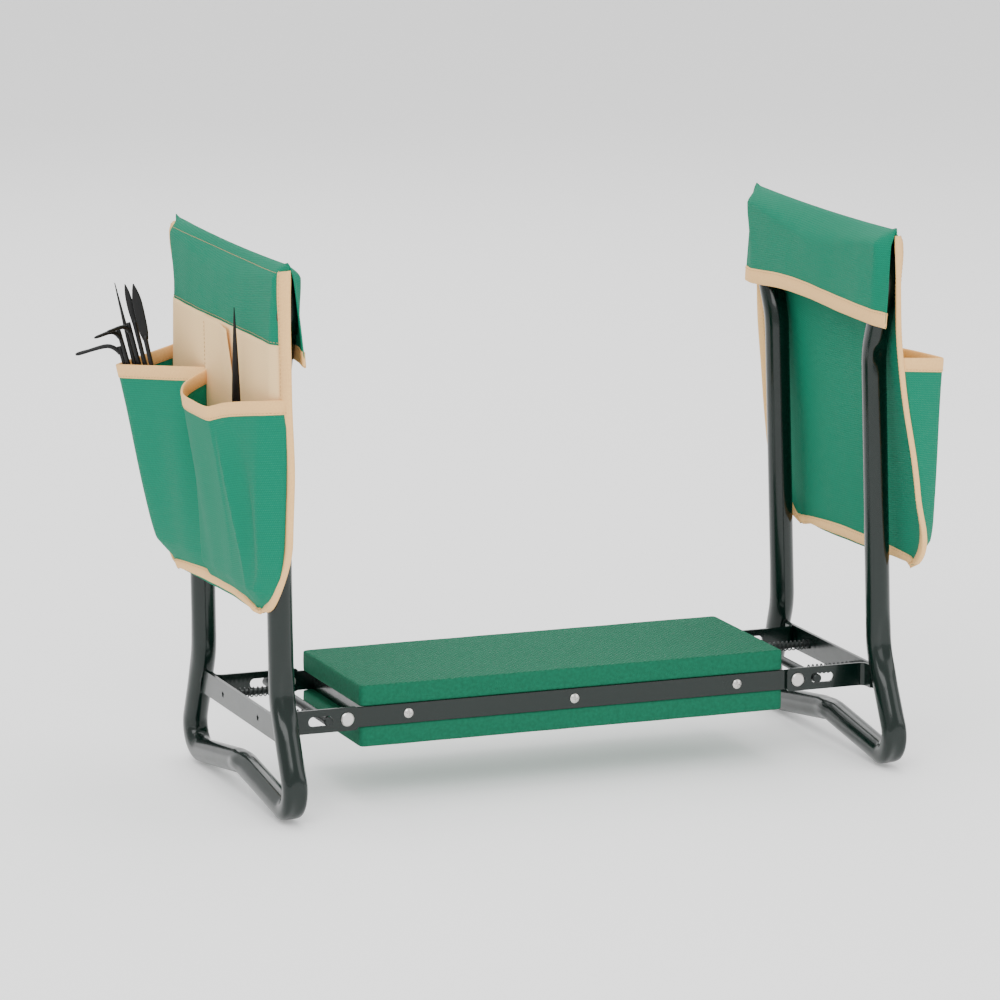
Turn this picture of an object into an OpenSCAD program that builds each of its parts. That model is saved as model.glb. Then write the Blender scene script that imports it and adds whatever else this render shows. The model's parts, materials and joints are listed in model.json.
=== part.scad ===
// Garden kneeler seat: a padded board that hangs between two folding tube legs.
// Millimetres, +Z up, the floor at Z = 0, X along the seat.

/* [Seat] */
// Length of the foam pads
pad_l = 400; // [360:1:440]
// Width of the foam pads
pad_w = 151; // [140:1:160]
// Thickness of one foam pad
pad_t = 18.6; // [15:0.1:22]
// Height of the steel band and of the board inside it
band_h = 17.4; // [14:0.1:20]
// Thickness of the steel band
band_t = 2.5; // [2:0.1:3]
// Height of the band's middle above the floor
pivot_z = 77; // [70:1:84]
// Distance of each pivot from the seat's middle
pivot_x = 213.1; // [208:0.1:225]
// Distance between neighbouring band screws
screw_pitch = 155.5; // [130:0.5:170]
// How far the seat's middle lies from the middle of the whole object's box
seat_x = 32; // [20:1:50]

/* [Legs] */
// Distance from the pivot out to the plane of the tube loop
leg_reach = 68.2; // [66:0.1:72]
// Outside diameter of the leg tube
tube_d = 22; // [20:0.5:25]
// Wall thickness of the leg tube
tube_wall = 1; // [0.8:0.1:1.5]
// Height of the tube loop
loop_h = 480; // [470:1:500]
// Half width of the loop at its waist, to the tube's middle
waist_y = 104; // [100:1:108]
// Half width of the loop at its corners, before they are rounded
corner_y = 148; // [142:1:152]
// Height of the outward kink above the floor
kink_z = 105; // [98:1:112]
// Rise of the middle of the foot bar
foot_rise = 16; // [8:1:24]
// Outward lean of the left loop from its crossbar, in degrees
left_lean = 0.8; // [-3:0.1:3]
// Outward lean of the right loop from its crossbar, in degrees
right_lean = -2; // [-3:0.1:3]

/* [Arms and lock] */
// Height of the arms
arm_h = 20.7; // [18:0.1:22]
// Thickness of the arms
arm_t = 2.5; // [2:0.1:3]
// Height of the crossbar
bar_h = 21.4; // [20:0.1:24]
// Thickness of the crossbar
bar_t = 3; // [2.5:0.1:4]
// Diameter of the lock rod
rod_d = 8; // [7:0.1:9]
// Distance of the lock rod from the pivot
rod_x = 18.2; // [17:0.1:20]
// Travel of the lock rod in its slots
rod_travel = 12.5; // [10:0.5:14]
// Distance of each spring from the middle of the rod
spring_y = 47; // [40:1:55]
// Outside diameter of the springs
spring_d = 9.4; // [8.6:0.1:10]
// Turns in each spring
spring_turns = 10; // [6:1:12]

/* [Pouches] */
// Half width of a pouch
pouch_y = 150; // [148:1:152]
// Height of the top seam above the floor
pouch_top = 490; // [488:1:500]
// Height of the bottom hem above the floor
pouch_low = 183; // [160:1:200]
// Height of the inner flap's hem
flap_low = 402; // [380:1:420]
// Height of the pocket rims
rim_z = 367; // [350:1:375]
// Thickness of the backed cloth
cloth_t = 1.4; // [1:0.1:2]
// Width of the binding tape
tape_w = 9; // [7:0.5:12]
// Depth of the left tool pocket at its rim
left_depth = 52; // [40:1:56]
// Depth of the right tool pocket at its rim
right_depth = 38; // [30:1:56]

/* [Hand tools] */
// Diameter of a tool's shaft
shaft_d = 4; // [3:0.1:5]

/* [Hidden] */
$fn = 64;

// seat
band_y = pad_w / 2 + 0.5;
arm_gap = 0.6;
arm_y = band_y + arm_gap;
end_rail_x = 188;
screw_d = 4;
rivet_d = 8;
bore_d = 8.12;
foam_round = 2;

// tube loop, drawn in the plane of Y and Z
tube_r = tube_d / 2;
bend_r = 22;
kink_r = 60;
crease_r = 40;
socket = 0.6;
socket_fit = 0.1;
// The corner's own point lies this high, so that the rounded tube just touches the floor
corner_z = 6.1;
mid_z = tube_r + foot_rise;
half_loop = [[0, mid_z], [corner_y, corner_z], [waist_y, kink_z]];
half_bends = [crease_r, bend_r, kink_r];
// The outline goes up the +Y side and down the -Y side
loop_points = concat(
    [for (i = [0:2]) half_loop[i]],
    [for (i = [2:-1:0]) [half_loop[i].x, loop_h - half_loop[i].y]],
    [for (i = [1:2]) [-half_loop[i].x, loop_h - half_loop[i].y]],
    [for (i = [2:-1:1]) [-half_loop[i].x, half_loop[i].y]]
);
loop_bends = concat(
    half_bends, [for (i = [2:-1:0]) half_bends[i]],
    [for (i = [1:2]) half_bends[i]], [for (i = [2:-1:1]) half_bends[i]]
);
loop_n = len(loop_points);
function unit(v) = v / norm(v);
function turn_of(v) = atan2(v.y, v.x);
function to_last(i) = unit(loop_points[(i + loop_n - 1) % loop_n] - loop_points[i]);
function to_next(i) = unit(loop_points[(i + 1) % loop_n] - loop_points[i]);
function corner_angle(i) = acos(to_last(i) * to_next(i));
function tangent(i) = loop_bends[i] / tan(corner_angle(i) / 2);
function bend_start(i) = loop_points[i] + to_last(i) * tangent(i);
function bend_end(i) = loop_points[i] + to_next(i) * tangent(i);
function bend_middle(i) =
    loop_points[i] + unit(to_last(i) + to_next(i)) * loop_bends[i] / sin(corner_angle(i) / 2);
function bend_side(i) = sign(cross(-to_last(i), to_next(i)));

// arms, lock and springs, measured outwards from the pivot
crossbar_x = leg_reach - 0.5;
flange_t = arm_t;
slot_d = rod_d + 0.8;
slot_out = rod_x + rod_travel + 0.2;
wire_d = 1.2;
guide_d = 4.6;
star_r = 3.6;

// pouch, measured outwards from the plane of the loop
panel_u = tube_r + 1;
tape_t = 0.6;
slip_u = panel_u + cloth_t + 0.1;
slip_t = 0.8;
pocket_u = slip_u + slip_t;
wall_t = 1.2;
pocket_low = 192;
split_y = -37;
fold_z = 455;

// The three places that everything is set in: the seat, and each leg from its pivot
module at_left() translate([seat_x - pivot_x, 0, 0]) rotate([0, 0, 180]) children();
module at_right() translate([seat_x + pivot_x, 0, 0]) children();
// A loop leans about the middle of its crossbar; U points out of the loop's plane
module on_left() at_left() leaned(left_lean) children();
module on_right() at_right() leaned(right_lean) children();
module leaned(lean) translate([leg_reach, 0, pivot_z]) rotate([0, lean, 0]) translate([0, 0, -pivot_z]) children();
module mirrored_y() {
    children();
    mirror([0, 1, 0]) children();
}
// A plate with thickness along X, drawn in Y and Z
module plate_x(from, thick) translate([from, 0, 0]) rotate([90, 0, 90]) linear_extrude(thick) children();

// Seat
module pad(low) {
    round_l = pad_l / 2 - foam_round;
    round_w = pad_w / 2 - foam_round;
    translate([seat_x, 0, low]) linear_extrude(pad_t) union() {
        square([pad_l, 2 * round_w], center = true);
        square([2 * round_l, pad_w], center = true);
        for (x = [-round_l, round_l], y = [-round_w, round_w]) translate([x, y]) circle(foam_round);
    }
}
module top_pad() color("seagreen") pad(pivot_z + band_h / 2);
module bottom_pad() color("seagreen") pad(pivot_z - band_h / 2 - pad_t);

module core_board() {
    color("burlywood") difference() {
        translate([seat_x, 0, pivot_z])
            cube([2 * end_rail_x - 0.2, 2 * (band_y - band_t) - 0.1, band_h], center = true);
        screw_holes(screw_d / 2 + 0.02);
    }
}
module screw_holes(r) {
    for (i = [-1:1]) translate([seat_x + i * screw_pitch, 0, pivot_z])
        rotate([90, 0, 0]) cylinder(r = r, h = 4 * band_y, center = true);
}
module rail() {
    lock_clear_r = rod_x - rod_d / 2 - 0.3;
    difference() {
        translate([0, -band_y, 0]) intersection() {
            translate([seat_x - pivot_x - lock_clear_r, 0, pivot_z - band_h / 2])
                cube([2 * (pivot_x + lock_clear_r), band_t, band_h]);
            union() {
                translate([seat_x - pivot_x, -1, pivot_z - band_h]) cube([2 * pivot_x, 3 * band_t, 2 * band_h]);
                for (s = [-1, 1]) translate([seat_x + s * pivot_x, -1, pivot_z])
                    rotate([-90, 0, 0]) cylinder(r = lock_clear_r, h = 3 * band_t);
            }
        }
        screw_holes(screw_d / 2 + 0.05);
        for (s = [-1, 1]) translate([seat_x + s * pivot_x, 0, pivot_z])
            rotate([90, 0, 0]) cylinder(d = bore_d, h = 4 * band_y, center = true);
    }
}
module front_rail() color("darkslategray") rail();
module rear_rail() color("darkslategray") mirror([0, 1, 0]) rail();
module end_rail(side) {
    color("darkslategray") translate([seat_x + side * (end_rail_x + band_t / 2), 0, pivot_z])
        cube([band_t, 2 * (band_y - band_t) - 0.04, band_h - 0.04], center = true);
}
module left_end_rail() end_rail(-1);
module right_end_rail() end_rail(1);

module rail_screws() {
    head_d = 8.4;
    head_h = 2.2;
    color("silver") mirrored_y() for (i = [-1:1])
        translate([seat_x + i * screw_pitch, -band_y, pivot_z]) rotate([90, 0, 0]) difference() {
            union() {
                translate([0, 0, -22]) cylinder(d = screw_d, h = 22.5);
                intersection() {
                    translate([0, 0, 0.02]) cylinder(d = head_d, h = head_h);
                    translate([0, 0, -4.2]) sphere(r = 6.4);
                }
            }
            for (a = [0, 90]) rotate([0, 0, a]) translate([0, 0, head_h]) cube([4.6, 0.9, 2.4], center = true);
        }
}

module at_pivots() mirrored_y() for (s = [-1, 1])
    translate([seat_x + s * pivot_x, 0, pivot_z]) rotate([90, 0, 0]) children();
module pivot_rivets() {
    head_d = 12;
    inner_y = band_y - band_t;
    head_y = arm_y + arm_t + 0.1;
    color("silver") at_pivots() union() {
        translate([0, 0, inner_y - 1.5]) cylinder(d = head_d, h = 1.5);
        translate([0, 0, inner_y - 1]) cylinder(d = rivet_d, h = head_y - inner_y + 2);
        translate([0, 0, head_y]) cylinder(d = head_d, h = 1);
        translate([0, 0, head_y + 1]) cylinder(d1 = head_d, d2 = head_d - 2, h = 0.8);
    }
}
module pivot_washers() {
    color("gainsboro") at_pivots() translate([0, 0, band_y + 0.02]) difference() {
        cylinder(d = 16, h = arm_gap - 0.12);
        translate([0, 0, -1]) cylinder(d = bore_d, h = 3);
    }
}

// Leg loop: a steel tube bent into a closed hourglass, its ends welded together
// The straight lengths are a hair thicker and reach a little into the bends, like sockets
module loop_rod(r) {
    rotate([90, 0, 90]) for (i = [0:loop_n - 1]) {
        from = bend_end(i) - to_next(i) * socket;
        long = norm(bend_start((i + 1) % loop_n) - bend_end(i)) + 2 * socket;
        translate(from) rotate([0, 0, turn_of(to_next(i))]) rotate([0, 90, 0]) cylinder(r = r + socket_fit, h = long);
        first = bend_side(i) > 0 ? bend_start(i) : bend_end(i);
        translate(bend_middle(i)) rotate([0, 0, turn_of(first - bend_middle(i))])
            rotate_extrude(angle = 180 - corner_angle(i)) translate([loop_bends[i], 0]) circle(r = r);
    }
}
module tube_loop() {
    color("darkgreen") difference() {
        loop_rod(tube_r);
        loop_rod(tube_r - tube_wall);
    }
}
module left_loop() on_left() tube_loop();
module right_loop() on_right() tube_loop();

module crossbar(lean) {
    star = [for (i = [0:9]) (i % 2 == 0 ? star_r : star_r / 2) * [cos(36 * i + 90), sin(36 * i + 90)]];
    color("darkslategray") difference() {
        translate([crossbar_x, -corner_y, pivot_z - bar_h / 2]) cube([bar_t, 2 * corner_y, bar_h]);
        leaned(lean) loop_rod(tube_r + 0.02);
        for (s = [-1, 1]) {
            translate([crossbar_x, s * corner_y, pivot_z])
                cube([2 * tube_d, 2 * (corner_y - waist_y) - 10, 2 * bar_h], center = true);
            plate_x(crossbar_x - 1, 2 * bar_t) translate([s * spring_y, pivot_z]) polygon(star);
        }
    }
}
module left_crossbar() at_left() crossbar(left_lean);
module right_crossbar() at_right() crossbar(right_lean);

// One arm with its pivot bore, its slot for the lock rod and the flange that is welded to the crossbar
module arm() {
    nose = 10;
    nose_r = 3;
    flange_w = 13;
    out_x = crossbar_x - 0.05;
    color("darkslategray") difference() {
        union() {
            translate([0, -arm_y, 0]) rotate([90, 0, 0]) linear_extrude(arm_t) difference() {
                union() {
                    translate([nose_r - nose, pivot_z - arm_h / 2]) square([out_x + nose - nose_r - 3 * arm_t, arm_h]);
                    translate([-nose, pivot_z - arm_h / 2 + nose_r]) square([2 * nose_r, arm_h - 2 * nose_r]);
                    for (s = [-1, 1]) translate([nose_r - nose, pivot_z + s * (arm_h / 2 - nose_r)]) circle(nose_r);
                }
                translate([0, pivot_z]) circle(d = bore_d);
                translate([rod_x - 0.3, pivot_z - slot_d / 2]) square([slot_out - rod_x + 0.3, slot_d]);
                translate([rod_x - 0.3, pivot_z]) circle(d = slot_d);
                translate([slot_out, pivot_z]) circle(d = slot_d);
            }
            translate([out_x - 3 * arm_t, -arm_y - 3 * arm_t, pivot_z - arm_h / 2])
                rotate_extrude(angle = 90) translate([2 * arm_t, 0]) square([arm_t, arm_h]);
            translate([out_x - arm_t, -arm_y - 3 * arm_t - flange_w + 5, pivot_z - arm_h / 2])
                cube([flange_t, flange_w - 5, arm_h]);
        }
    }
}
module rear_arm() mirror([0, 1, 0]) arm();
module left_front_arm() at_left() rear_arm();
module left_rear_arm() at_left() arm();
module right_front_arm() at_right() arm();
module right_rear_arm() at_right() rear_arm();

// The pins that carry the springs, each with a collar against the crossbar
module spring_guides() {
    tip = rod_x - rod_d / 2 - 3.5;
    color("dimgray") for (s = [-1, 1]) translate([0, s * spring_y, pivot_z]) rotate([0, 90, 0]) union() {
        translate([0, 0, tip]) cylinder(d = guide_d, h = crossbar_x - tip - 1.2);
        translate([0, 0, crossbar_x - 1.25]) cylinder(d = 8.6, h = 1.2);
        translate([0, 0, crossbar_x - 0.1]) cylinder(d = star_r - 0.2, h = 1.6);
    }
}
module left_spring_guides() at_left() spring_guides();
module right_spring_guides() at_right() spring_guides();

module springs() {
    from = rod_x + rod_d / 2 + 0.7;
    long = crossbar_x - 1.25 - 0.8 - from;
    color("dimgray") for (s = [-1, 1]) translate([from, s * spring_y, pivot_z]) rotate([0, 90, 0])
        linear_extrude(long, twist = -360 * spring_turns, slices = 12 * spring_turns, $fn = 6)
            translate([(spring_d - wire_d) / 2, 0]) scale([1, 2.2]) circle(d = wire_d, $fn = 6);
}
module left_springs() at_left() springs();
module right_springs() at_right() springs();

module lock_rod() {
    half = arm_y + arm_t + 3.5;
    color("dimgray") translate([rod_x, 0, pivot_z]) difference() {
        rotate([90, 0, 0]) union() {
            cylinder(d = rod_d, h = 2 * half - 2, center = true);
            translate([0, 0, half - 1]) cylinder(d1 = rod_d, d2 = rod_d - 2, h = 1);
            mirror([0, 0, 1]) translate([0, 0, half - 1]) cylinder(d1 = rod_d, d2 = rod_d - 2, h = 1);
        }
        for (s = [-1, 1]) translate([-rod_d, s * spring_y, 0]) rotate([0, 90, 0]) cylinder(d = guide_d + 0.8, h = 2 * rod_d);
    }
}
module left_lock_rod() at_left() lock_rod();
module right_lock_rod() at_right() lock_rod();

// Pouch: an outer panel and an inner flap, seamed over the top of the loop
// The half section of the sleeve, in U and Z, from the top seam down to a hem
module sleeve_half(low) {
    out = panel_u + cloth_t;
    polygon([
        [0.05, pouch_top], [1.2, pouch_top], [out - 2, fold_z + 22], [out, fold_z + 12], [out, low],
        [panel_u, low], [panel_u, fold_z + 12], [panel_u - 2, fold_z + 21], [0.05, pouch_top - 4]
    ]);
}
module side_wall(low) {
    polygon([
        [0.05, pouch_top], [1.2, pouch_top], [panel_u + cloth_t - 2, fold_z + 22],
        [panel_u + cloth_t, fold_z + 12], [panel_u + cloth_t, low], [0.05, low]
    ]);
}
module sleeve(low) {
    rotate([90, 0, 0]) linear_extrude(2 * pouch_y, center = true) sleeve_half(low);
    for (s = [-1, 1]) translate([0, s * (pouch_y - cloth_t / 2), 0])
        rotate([90, 0, 0]) linear_extrude(cloth_t, center = true) side_wall(flap_low);
}
// The panel's outline below the flap, its lower corners rounded
module panel_outline(inset) {
    corner = 45;
    half = pouch_y - inset;
    low = pouch_low + inset;
    r = corner - inset;
    translate([-half, low + r]) square([2 * half, flap_low - low - r + 1]);
    translate([-half + r, low]) square([2 * (half - r), 2 * r]);
    for (s = [-1, 1]) translate([s * (half - r), low + r]) circle(r);
}
module pouch_panel() {
    color("seagreen") union() {
        sleeve(flap_low);
        plate_x(panel_u, cloth_t) panel_outline(0);
    }
}
module pouch_flap() color("seagreen") mirror([1, 0, 0]) sleeve(flap_low);
module left_pouch_panel() on_left() pouch_panel();
module right_pouch_panel() on_right() pouch_panel();
module left_pouch_flap() on_left() pouch_flap();
module right_pouch_flap() on_right() pouch_flap();

// Tape folded round the panel's edge
module pouch_binding() {
    color("tan") difference() {
        plate_x(panel_u - tape_t, cloth_t + 2 * tape_t) difference() {
            translate([0, -0.6]) panel_outline(-0.6);
            panel_outline(tape_w);
            translate([-2 * pouch_y, flap_low - 0.2]) square([4 * pouch_y, 60]);
        }
        plate_x(panel_u - 0.01, cloth_t + 0.02) panel_outline(-0.05);
    }
}
module left_pouch_binding() on_left() pouch_binding();
module right_pouch_binding() on_right() pouch_binding();

module flap_binding() {
    color("tan") mirror([1, 0, 0]) difference() {
        translate([panel_u - tape_t, -pouch_y, flap_low - 0.6]) cube([cloth_t + 2 * tape_t, 2 * pouch_y, tape_w]);
        translate([panel_u - 0.01, -2 * pouch_y, flap_low - 0.02]) cube([cloth_t + 0.02, 4 * pouch_y, 2 * tape_w]);
        for (s = [-1, 1]) translate([0, s * pouch_y, flap_low]) cube([60, 2 * cloth_t + 0.1, 60], center = true);
    }
}
module left_flap_binding() on_left() flap_binding();
module right_flap_binding() on_right() flap_binding();

module slip_pocket() {
    color("tan") translate([slip_u, -pouch_y + 10, 250]) cube([slip_t, 2 * pouch_y - 20, 419 - 250]);
}
module left_slip_pocket() on_left() slip_pocket();
module right_slip_pocket() on_right() slip_pocket();

// A pocket is a hull between its rim and its foot, open above and against the panel
module wedge(rim, foot, top, low) {
    hull() {
        translate([0, 0, top - 0.01]) linear_extrude(0.01) polygon(rim);
        translate([0, 0, low]) linear_extrude(0.01) polygon(foot);
    }
}
function deep_rim(depth, in) = [
    [pocket_u, -pouch_y + 2 + in], [pocket_u + depth - 1.3 * in, -136 + 0.9 * in],
    [pocket_u + 4 - 0.8 * in, split_y - 1 - in], [pocket_u, split_y - 1 - in]
];
function wide_rim(depth, in) = [
    [pocket_u, split_y + in], [pocket_u + 0.75 * depth - in, -12 + 0.8 * in], [pocket_u + 0.85 * depth - in, 30],
    [pocket_u + 0.65 * depth - in, 75], [pocket_u + 3 - 0.8 * in, pouch_y - 3 - in], [pocket_u, pouch_y - 3 - in]
];
function foot_of(rim, share) = [for (p = rim) [pocket_u + (p.x - pocket_u) * share, p.y]];
module deep_pocket(depth) {
    color("seagreen") difference() {
        wedge(deep_rim(depth, 0), foot_of(deep_rim(depth, 0), 0.3), rim_z, pocket_low);
        wedge(
            concat([[pocket_u - 5, -pouch_y + 2 + wall_t]], deep_rim(depth, wall_t), [[pocket_u - 5, split_y - 1 - wall_t]]),
            foot_of(deep_rim(depth, wall_t), 0.3), rim_z + 4, pocket_low + 3
        );
    }
}
module wide_pocket(depth) {
    color("seagreen") difference() {
        wedge(wide_rim(depth, 0), foot_of(wide_rim(depth, 0), 0.3), rim_z, pocket_low);
        wedge(
            concat([[pocket_u - 5, split_y + wall_t]], wide_rim(depth, wall_t), [[pocket_u - 5, pouch_y - 3 - wall_t]]),
            foot_of(wide_rim(depth, wall_t), 0.3), rim_z + 4, pocket_low + 3
        );
    }
}
module left_deep_pocket() on_left() deep_pocket(left_depth);
module left_wide_pocket() on_left() wide_pocket(left_depth - 10);
module right_deep_pocket() on_right() deep_pocket(right_depth);
module right_wide_pocket() on_right() wide_pocket(right_depth - 8);

// Tape folded over the rims of both pockets
module rim_band(rim, grow) {
    low = rim_z - tape_w;
    difference() {
        wedge(grow, grow, rim_z + tape_t, low);
        translate([0, 0, -1]) wedge(rim, rim, rim_z + 5, low - 1);
    }
}
function grown(rim, out) = [
    for (i = [0:len(rim) - 1]) i == 0 || i == len(rim) - 1 ? rim[i] : rim[i] + [out, 0]
];
module pocket_binding(deep, wide) {
    gap = 0.05;
    color("tan") union() {
        rim_band(grown(deep_rim(deep, 0), gap), grown(deep_rim(deep, 0), gap + tape_t));
        rim_band(grown(wide_rim(wide, 0), gap), grown(wide_rim(wide, 0), gap + tape_t));
    }
}
module left_pocket_binding() on_left() pocket_binding(left_depth, left_depth - 10);
module right_pocket_binding() on_right() pocket_binding(right_depth, right_depth - 8);

// Hand tools, standing in the left pockets; each is drawn upright along its shaft
module tool(foot, aim, turn = 0) {
    way = aim - foot;
    tilt = atan2(norm([way.x, way.y]), way.z);
    heading = atan2(way.y, way.x);
    color("black") on_left() translate(foot) rotate([0, tilt, heading]) rotate([0, 0, turn - heading]) children();
}
module shaft(long) {
    sphere(d = shaft_d);
    cylinder(d = shaft_d, h = long);
}
// A flat blade with its outline in Y and Z, standing on the shaft's end
module flat_tip(outline, thick) rotate([90, 0, 90]) linear_extrude(thick, center = true) polygon(outline);
// A hook: the shaft's end bends over and carries a flat blade that points away
module hook(long, rise, reach, wide) {
    knee = rise * sin(45);
    shaft(long);
    translate([0, 0, long]) sphere(d = shaft_d);
    translate([0, 0, long]) rotate([0, 45, 0]) cylinder(d = shaft_d, h = rise);
    translate([knee, 0, long + knee]) rotate([0, 90, 0]) union() {
        sphere(d = shaft_d);
        cylinder(d1 = shaft_d, d2 = 2, h = reach - wide);
        translate([-0.6, -wide / 2, 0]) cube([1.2, wide, reach]);
    }
}
module point_tweezer() tool([26.83, -98.67, 220], [52.3, -126.7, rim_z]) union() {
    shaft(171.5);
    translate([0, 0, 171.5]) cylinder(d1 = shaft_d, d2 = 0.8, h = 50);
}
module leaf_tweezer() tool([17.5, -83.7, 206], [45.9, -115.9, rim_z], 73) union() {
    shaft(202);
    flat_tip([[-1, 196], [1, 196], [3, 212], [2.6, 224], [0, 236], [-2.6, 224], [-3, 212]], 1.4);
}
module planting_blade() tool([18, -78, 206], [43.6, -104, rim_z], 75) union() {
    shaft(188);
    flat_tip([[-1, 180], [1, 180], [4, 194], [4, 220], [0, 236], [-4, 220], [-4, 194]], 1.4);
}
module small_hook() tool([17.8, -98.3, 206], [50.1, -120.7, rim_z], 24) hook(194, 6, 22, 3);
module middle_hook() tool([21.1, -105.1, 206], [58, -127.7, rim_z], 24) hook(190, 7, 24, 4.4);
module paddle_hook() tool([21.4, -110.9, 206], [60.2, -131.6, rim_z], -17) hook(176, 9, 33, 5);
module dibber_spike() tool([19, 57, 224], [23, 67.2, rim_z], 80) union() {
    shaft(130);
    flat_tip([[-1.5, 118], [1.5, 118], [3.6, 132], [3.6, 142], [0, 219], [-3.6, 142], [-3.6, 132]], 1.4);
}

top_pad();
bottom_pad();
core_board();
front_rail();
rear_rail();
left_end_rail();
right_end_rail();
rail_screws();
pivot_rivets();
pivot_washers();
left_loop();
left_crossbar();
left_front_arm();
left_rear_arm();
left_spring_guides();
left_springs();
left_lock_rod();
left_pouch_panel();
left_pouch_flap();
left_pouch_binding();
left_flap_binding();
left_slip_pocket();
left_deep_pocket();
left_wide_pocket();
left_pocket_binding();
right_loop();
right_crossbar();
right_front_arm();
right_rear_arm();
right_spring_guides();
right_springs();
right_lock_rod();
right_pouch_panel();
right_pouch_flap();
right_pouch_binding();
right_flap_binding();
right_slip_pocket();
right_deep_pocket();
right_wide_pocket();
right_pocket_binding();
point_tweezer();
leaf_tweezer();
planting_blade();
small_hook();
middle_hook();
paddle_hook();
dibber_spike();
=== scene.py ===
"""Looks of a garden kneeler seat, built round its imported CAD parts.

Lengths in the code are millimetres unless a name ends in _m. Each leg is drawn in its own frame:
U points out of the loop's plane, Y along the crossbar and Z up from the floor. leg_place() sets
points of that frame on the object.
"""

import json
import math

import bmesh
import bpy
import numpy as np
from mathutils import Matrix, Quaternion, Vector


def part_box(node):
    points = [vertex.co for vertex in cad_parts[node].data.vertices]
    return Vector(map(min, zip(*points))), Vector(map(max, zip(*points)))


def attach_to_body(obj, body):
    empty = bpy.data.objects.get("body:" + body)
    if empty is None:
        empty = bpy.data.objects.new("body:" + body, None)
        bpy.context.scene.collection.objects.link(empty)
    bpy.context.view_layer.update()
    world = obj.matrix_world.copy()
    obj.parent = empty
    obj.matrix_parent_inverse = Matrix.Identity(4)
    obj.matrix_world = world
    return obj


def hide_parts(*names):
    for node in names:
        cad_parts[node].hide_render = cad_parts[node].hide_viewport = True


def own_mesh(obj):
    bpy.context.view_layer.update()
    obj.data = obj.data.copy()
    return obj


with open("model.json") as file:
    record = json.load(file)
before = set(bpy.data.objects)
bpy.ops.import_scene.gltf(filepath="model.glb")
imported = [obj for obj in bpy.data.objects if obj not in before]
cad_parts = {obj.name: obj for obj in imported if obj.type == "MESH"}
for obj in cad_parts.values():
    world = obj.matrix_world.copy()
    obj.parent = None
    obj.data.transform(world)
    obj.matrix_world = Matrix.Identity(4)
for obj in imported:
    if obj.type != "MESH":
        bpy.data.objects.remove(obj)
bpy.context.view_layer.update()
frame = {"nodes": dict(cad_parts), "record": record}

bl_info = {
    "name": "Garden Kneeler Seat",
    "version": (1, 0, 0),
    "blender": (4, 5, 0),
    "location": "View3D > Sidebar > Kneeler",
    "description": "Cloth pouches, foam pads, bent tube legs and finishes for the kneeler",
    "category": "Object",
}

SIDES = ("left", "right")

# Sizes of the CAD parts; LEAN is each leg's tilt at rest, in degrees
SEAT_X = 32.0
PIVOT_X = 213.1
PIVOT_Z = 77.0
REACH = 68.2
LEAN = {"left": 0.8, "right": -2.0}
TUBE_R = 11.0
CROSSBAR_HALF = (1.5, 10.7)
SPRING_Y = 47.0

# Sizes of a pouch: half its width, the heights of its edges and seams, and how far its cloth
# stands off the loop's plane where it lies on the tube
POUCH_Y = 150.0
HEM_Z = 181.0
TOP_Z = 488.0
FLAP_Z = 404.0
SPLIT_Y = -37.0
POCKET_FOOT_Z = 205.0
KHAKI_TOP_Z = 419.0
KHAKI_FOOT_Z = 255.0
KHAKI_MM = 0.7
ON_TUBE = 12.8
ON_PANEL = 1.4


def hex_colour(text):
    """A colour written as sRGB hex, as linear values for a shader."""
    values = [int(text[i : i + 2], 16) / 255 for i in (0, 2, 4)]
    return tuple(v / 12.92 if v <= 0.04045 else ((v + 0.055) / 1.055) ** 2.4 for v in values)


# ---------------------------------------------------------------- settings


def colour(name, text, description):
    return bpy.props.FloatVectorProperty(
        name=name, description=description, subtype="COLOR", size=3, min=0, max=1, default=hex_colour(text)
    )


class KneelerColours(bpy.types.PropertyGroup):
    enamel: colour("Frame enamel", "02140f", "Gloss enamel on the tube legs, rails and arms")
    foam: colour("Foam", "105f45", "Both foam pads")
    cloth: colour("Pouch cloth", "0b7559", "Woven cloth of both pouches")
    khaki: colour("Khaki cloth", "fad199", "Flat slip pockets behind the tool pockets")
    tape: colour("Binding tape", "fdc27e", "Tape folded over every cloth edge")
    thread: colour("Thread", "c9a06c", "Stitches in the binding tape")
    tools: colour("Tool steel", "101112", "Blackened hand tools")


def length_mm(name, description, default, low, high):
    return bpy.props.FloatProperty(
        name=name, description=f"{description}, in millimetres", default=default, min=low, max=high
    )


class KneelerSizes(bpy.types.PropertyGroup):
    cloth_mm: length_mm("Cloth thickness", "Thickness of the backed pouch cloth", 1.1, 0.5, 2)
    tape_mm: length_mm("Tape width", "Width of the binding tape", 11.5, 6, 14)
    weave_mm: length_mm("Weave pitch", "Distance between neighbouring threads", 2.0, 0.5, 3)
    stitch_mm: length_mm("Stitch pitch", "Distance from one stitch to the next", 3.6, 2, 8)
    emboss_mm: length_mm("Emboss pitch", "Distance between the dimples in the foam", 5.0, 2, 10)


# ---------------------------------------------------------------- materials


def add_node(tree, kind, **settings):
    """One shader or geometry node: at_in0, at_in1 and so on fill inputs, other names set properties."""
    made = tree.nodes.new(kind)
    for name, value in settings.items():
        head, _, place = name.rpartition("_in")
        if head == "at" and place.isdigit():
            if isinstance(value, bpy.types.NodeSocket):
                tree.links.new(value, made.inputs[int(place)])
            else:
                made.inputs[int(place)].default_value = value
        else:
            setattr(made, name, value)
    return made


def maths(tree, operation, a, b=0.0):
    return add_node(tree, "ShaderNodeMath", operation=operation, at_in0=a, at_in1=b).outputs[0]


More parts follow.
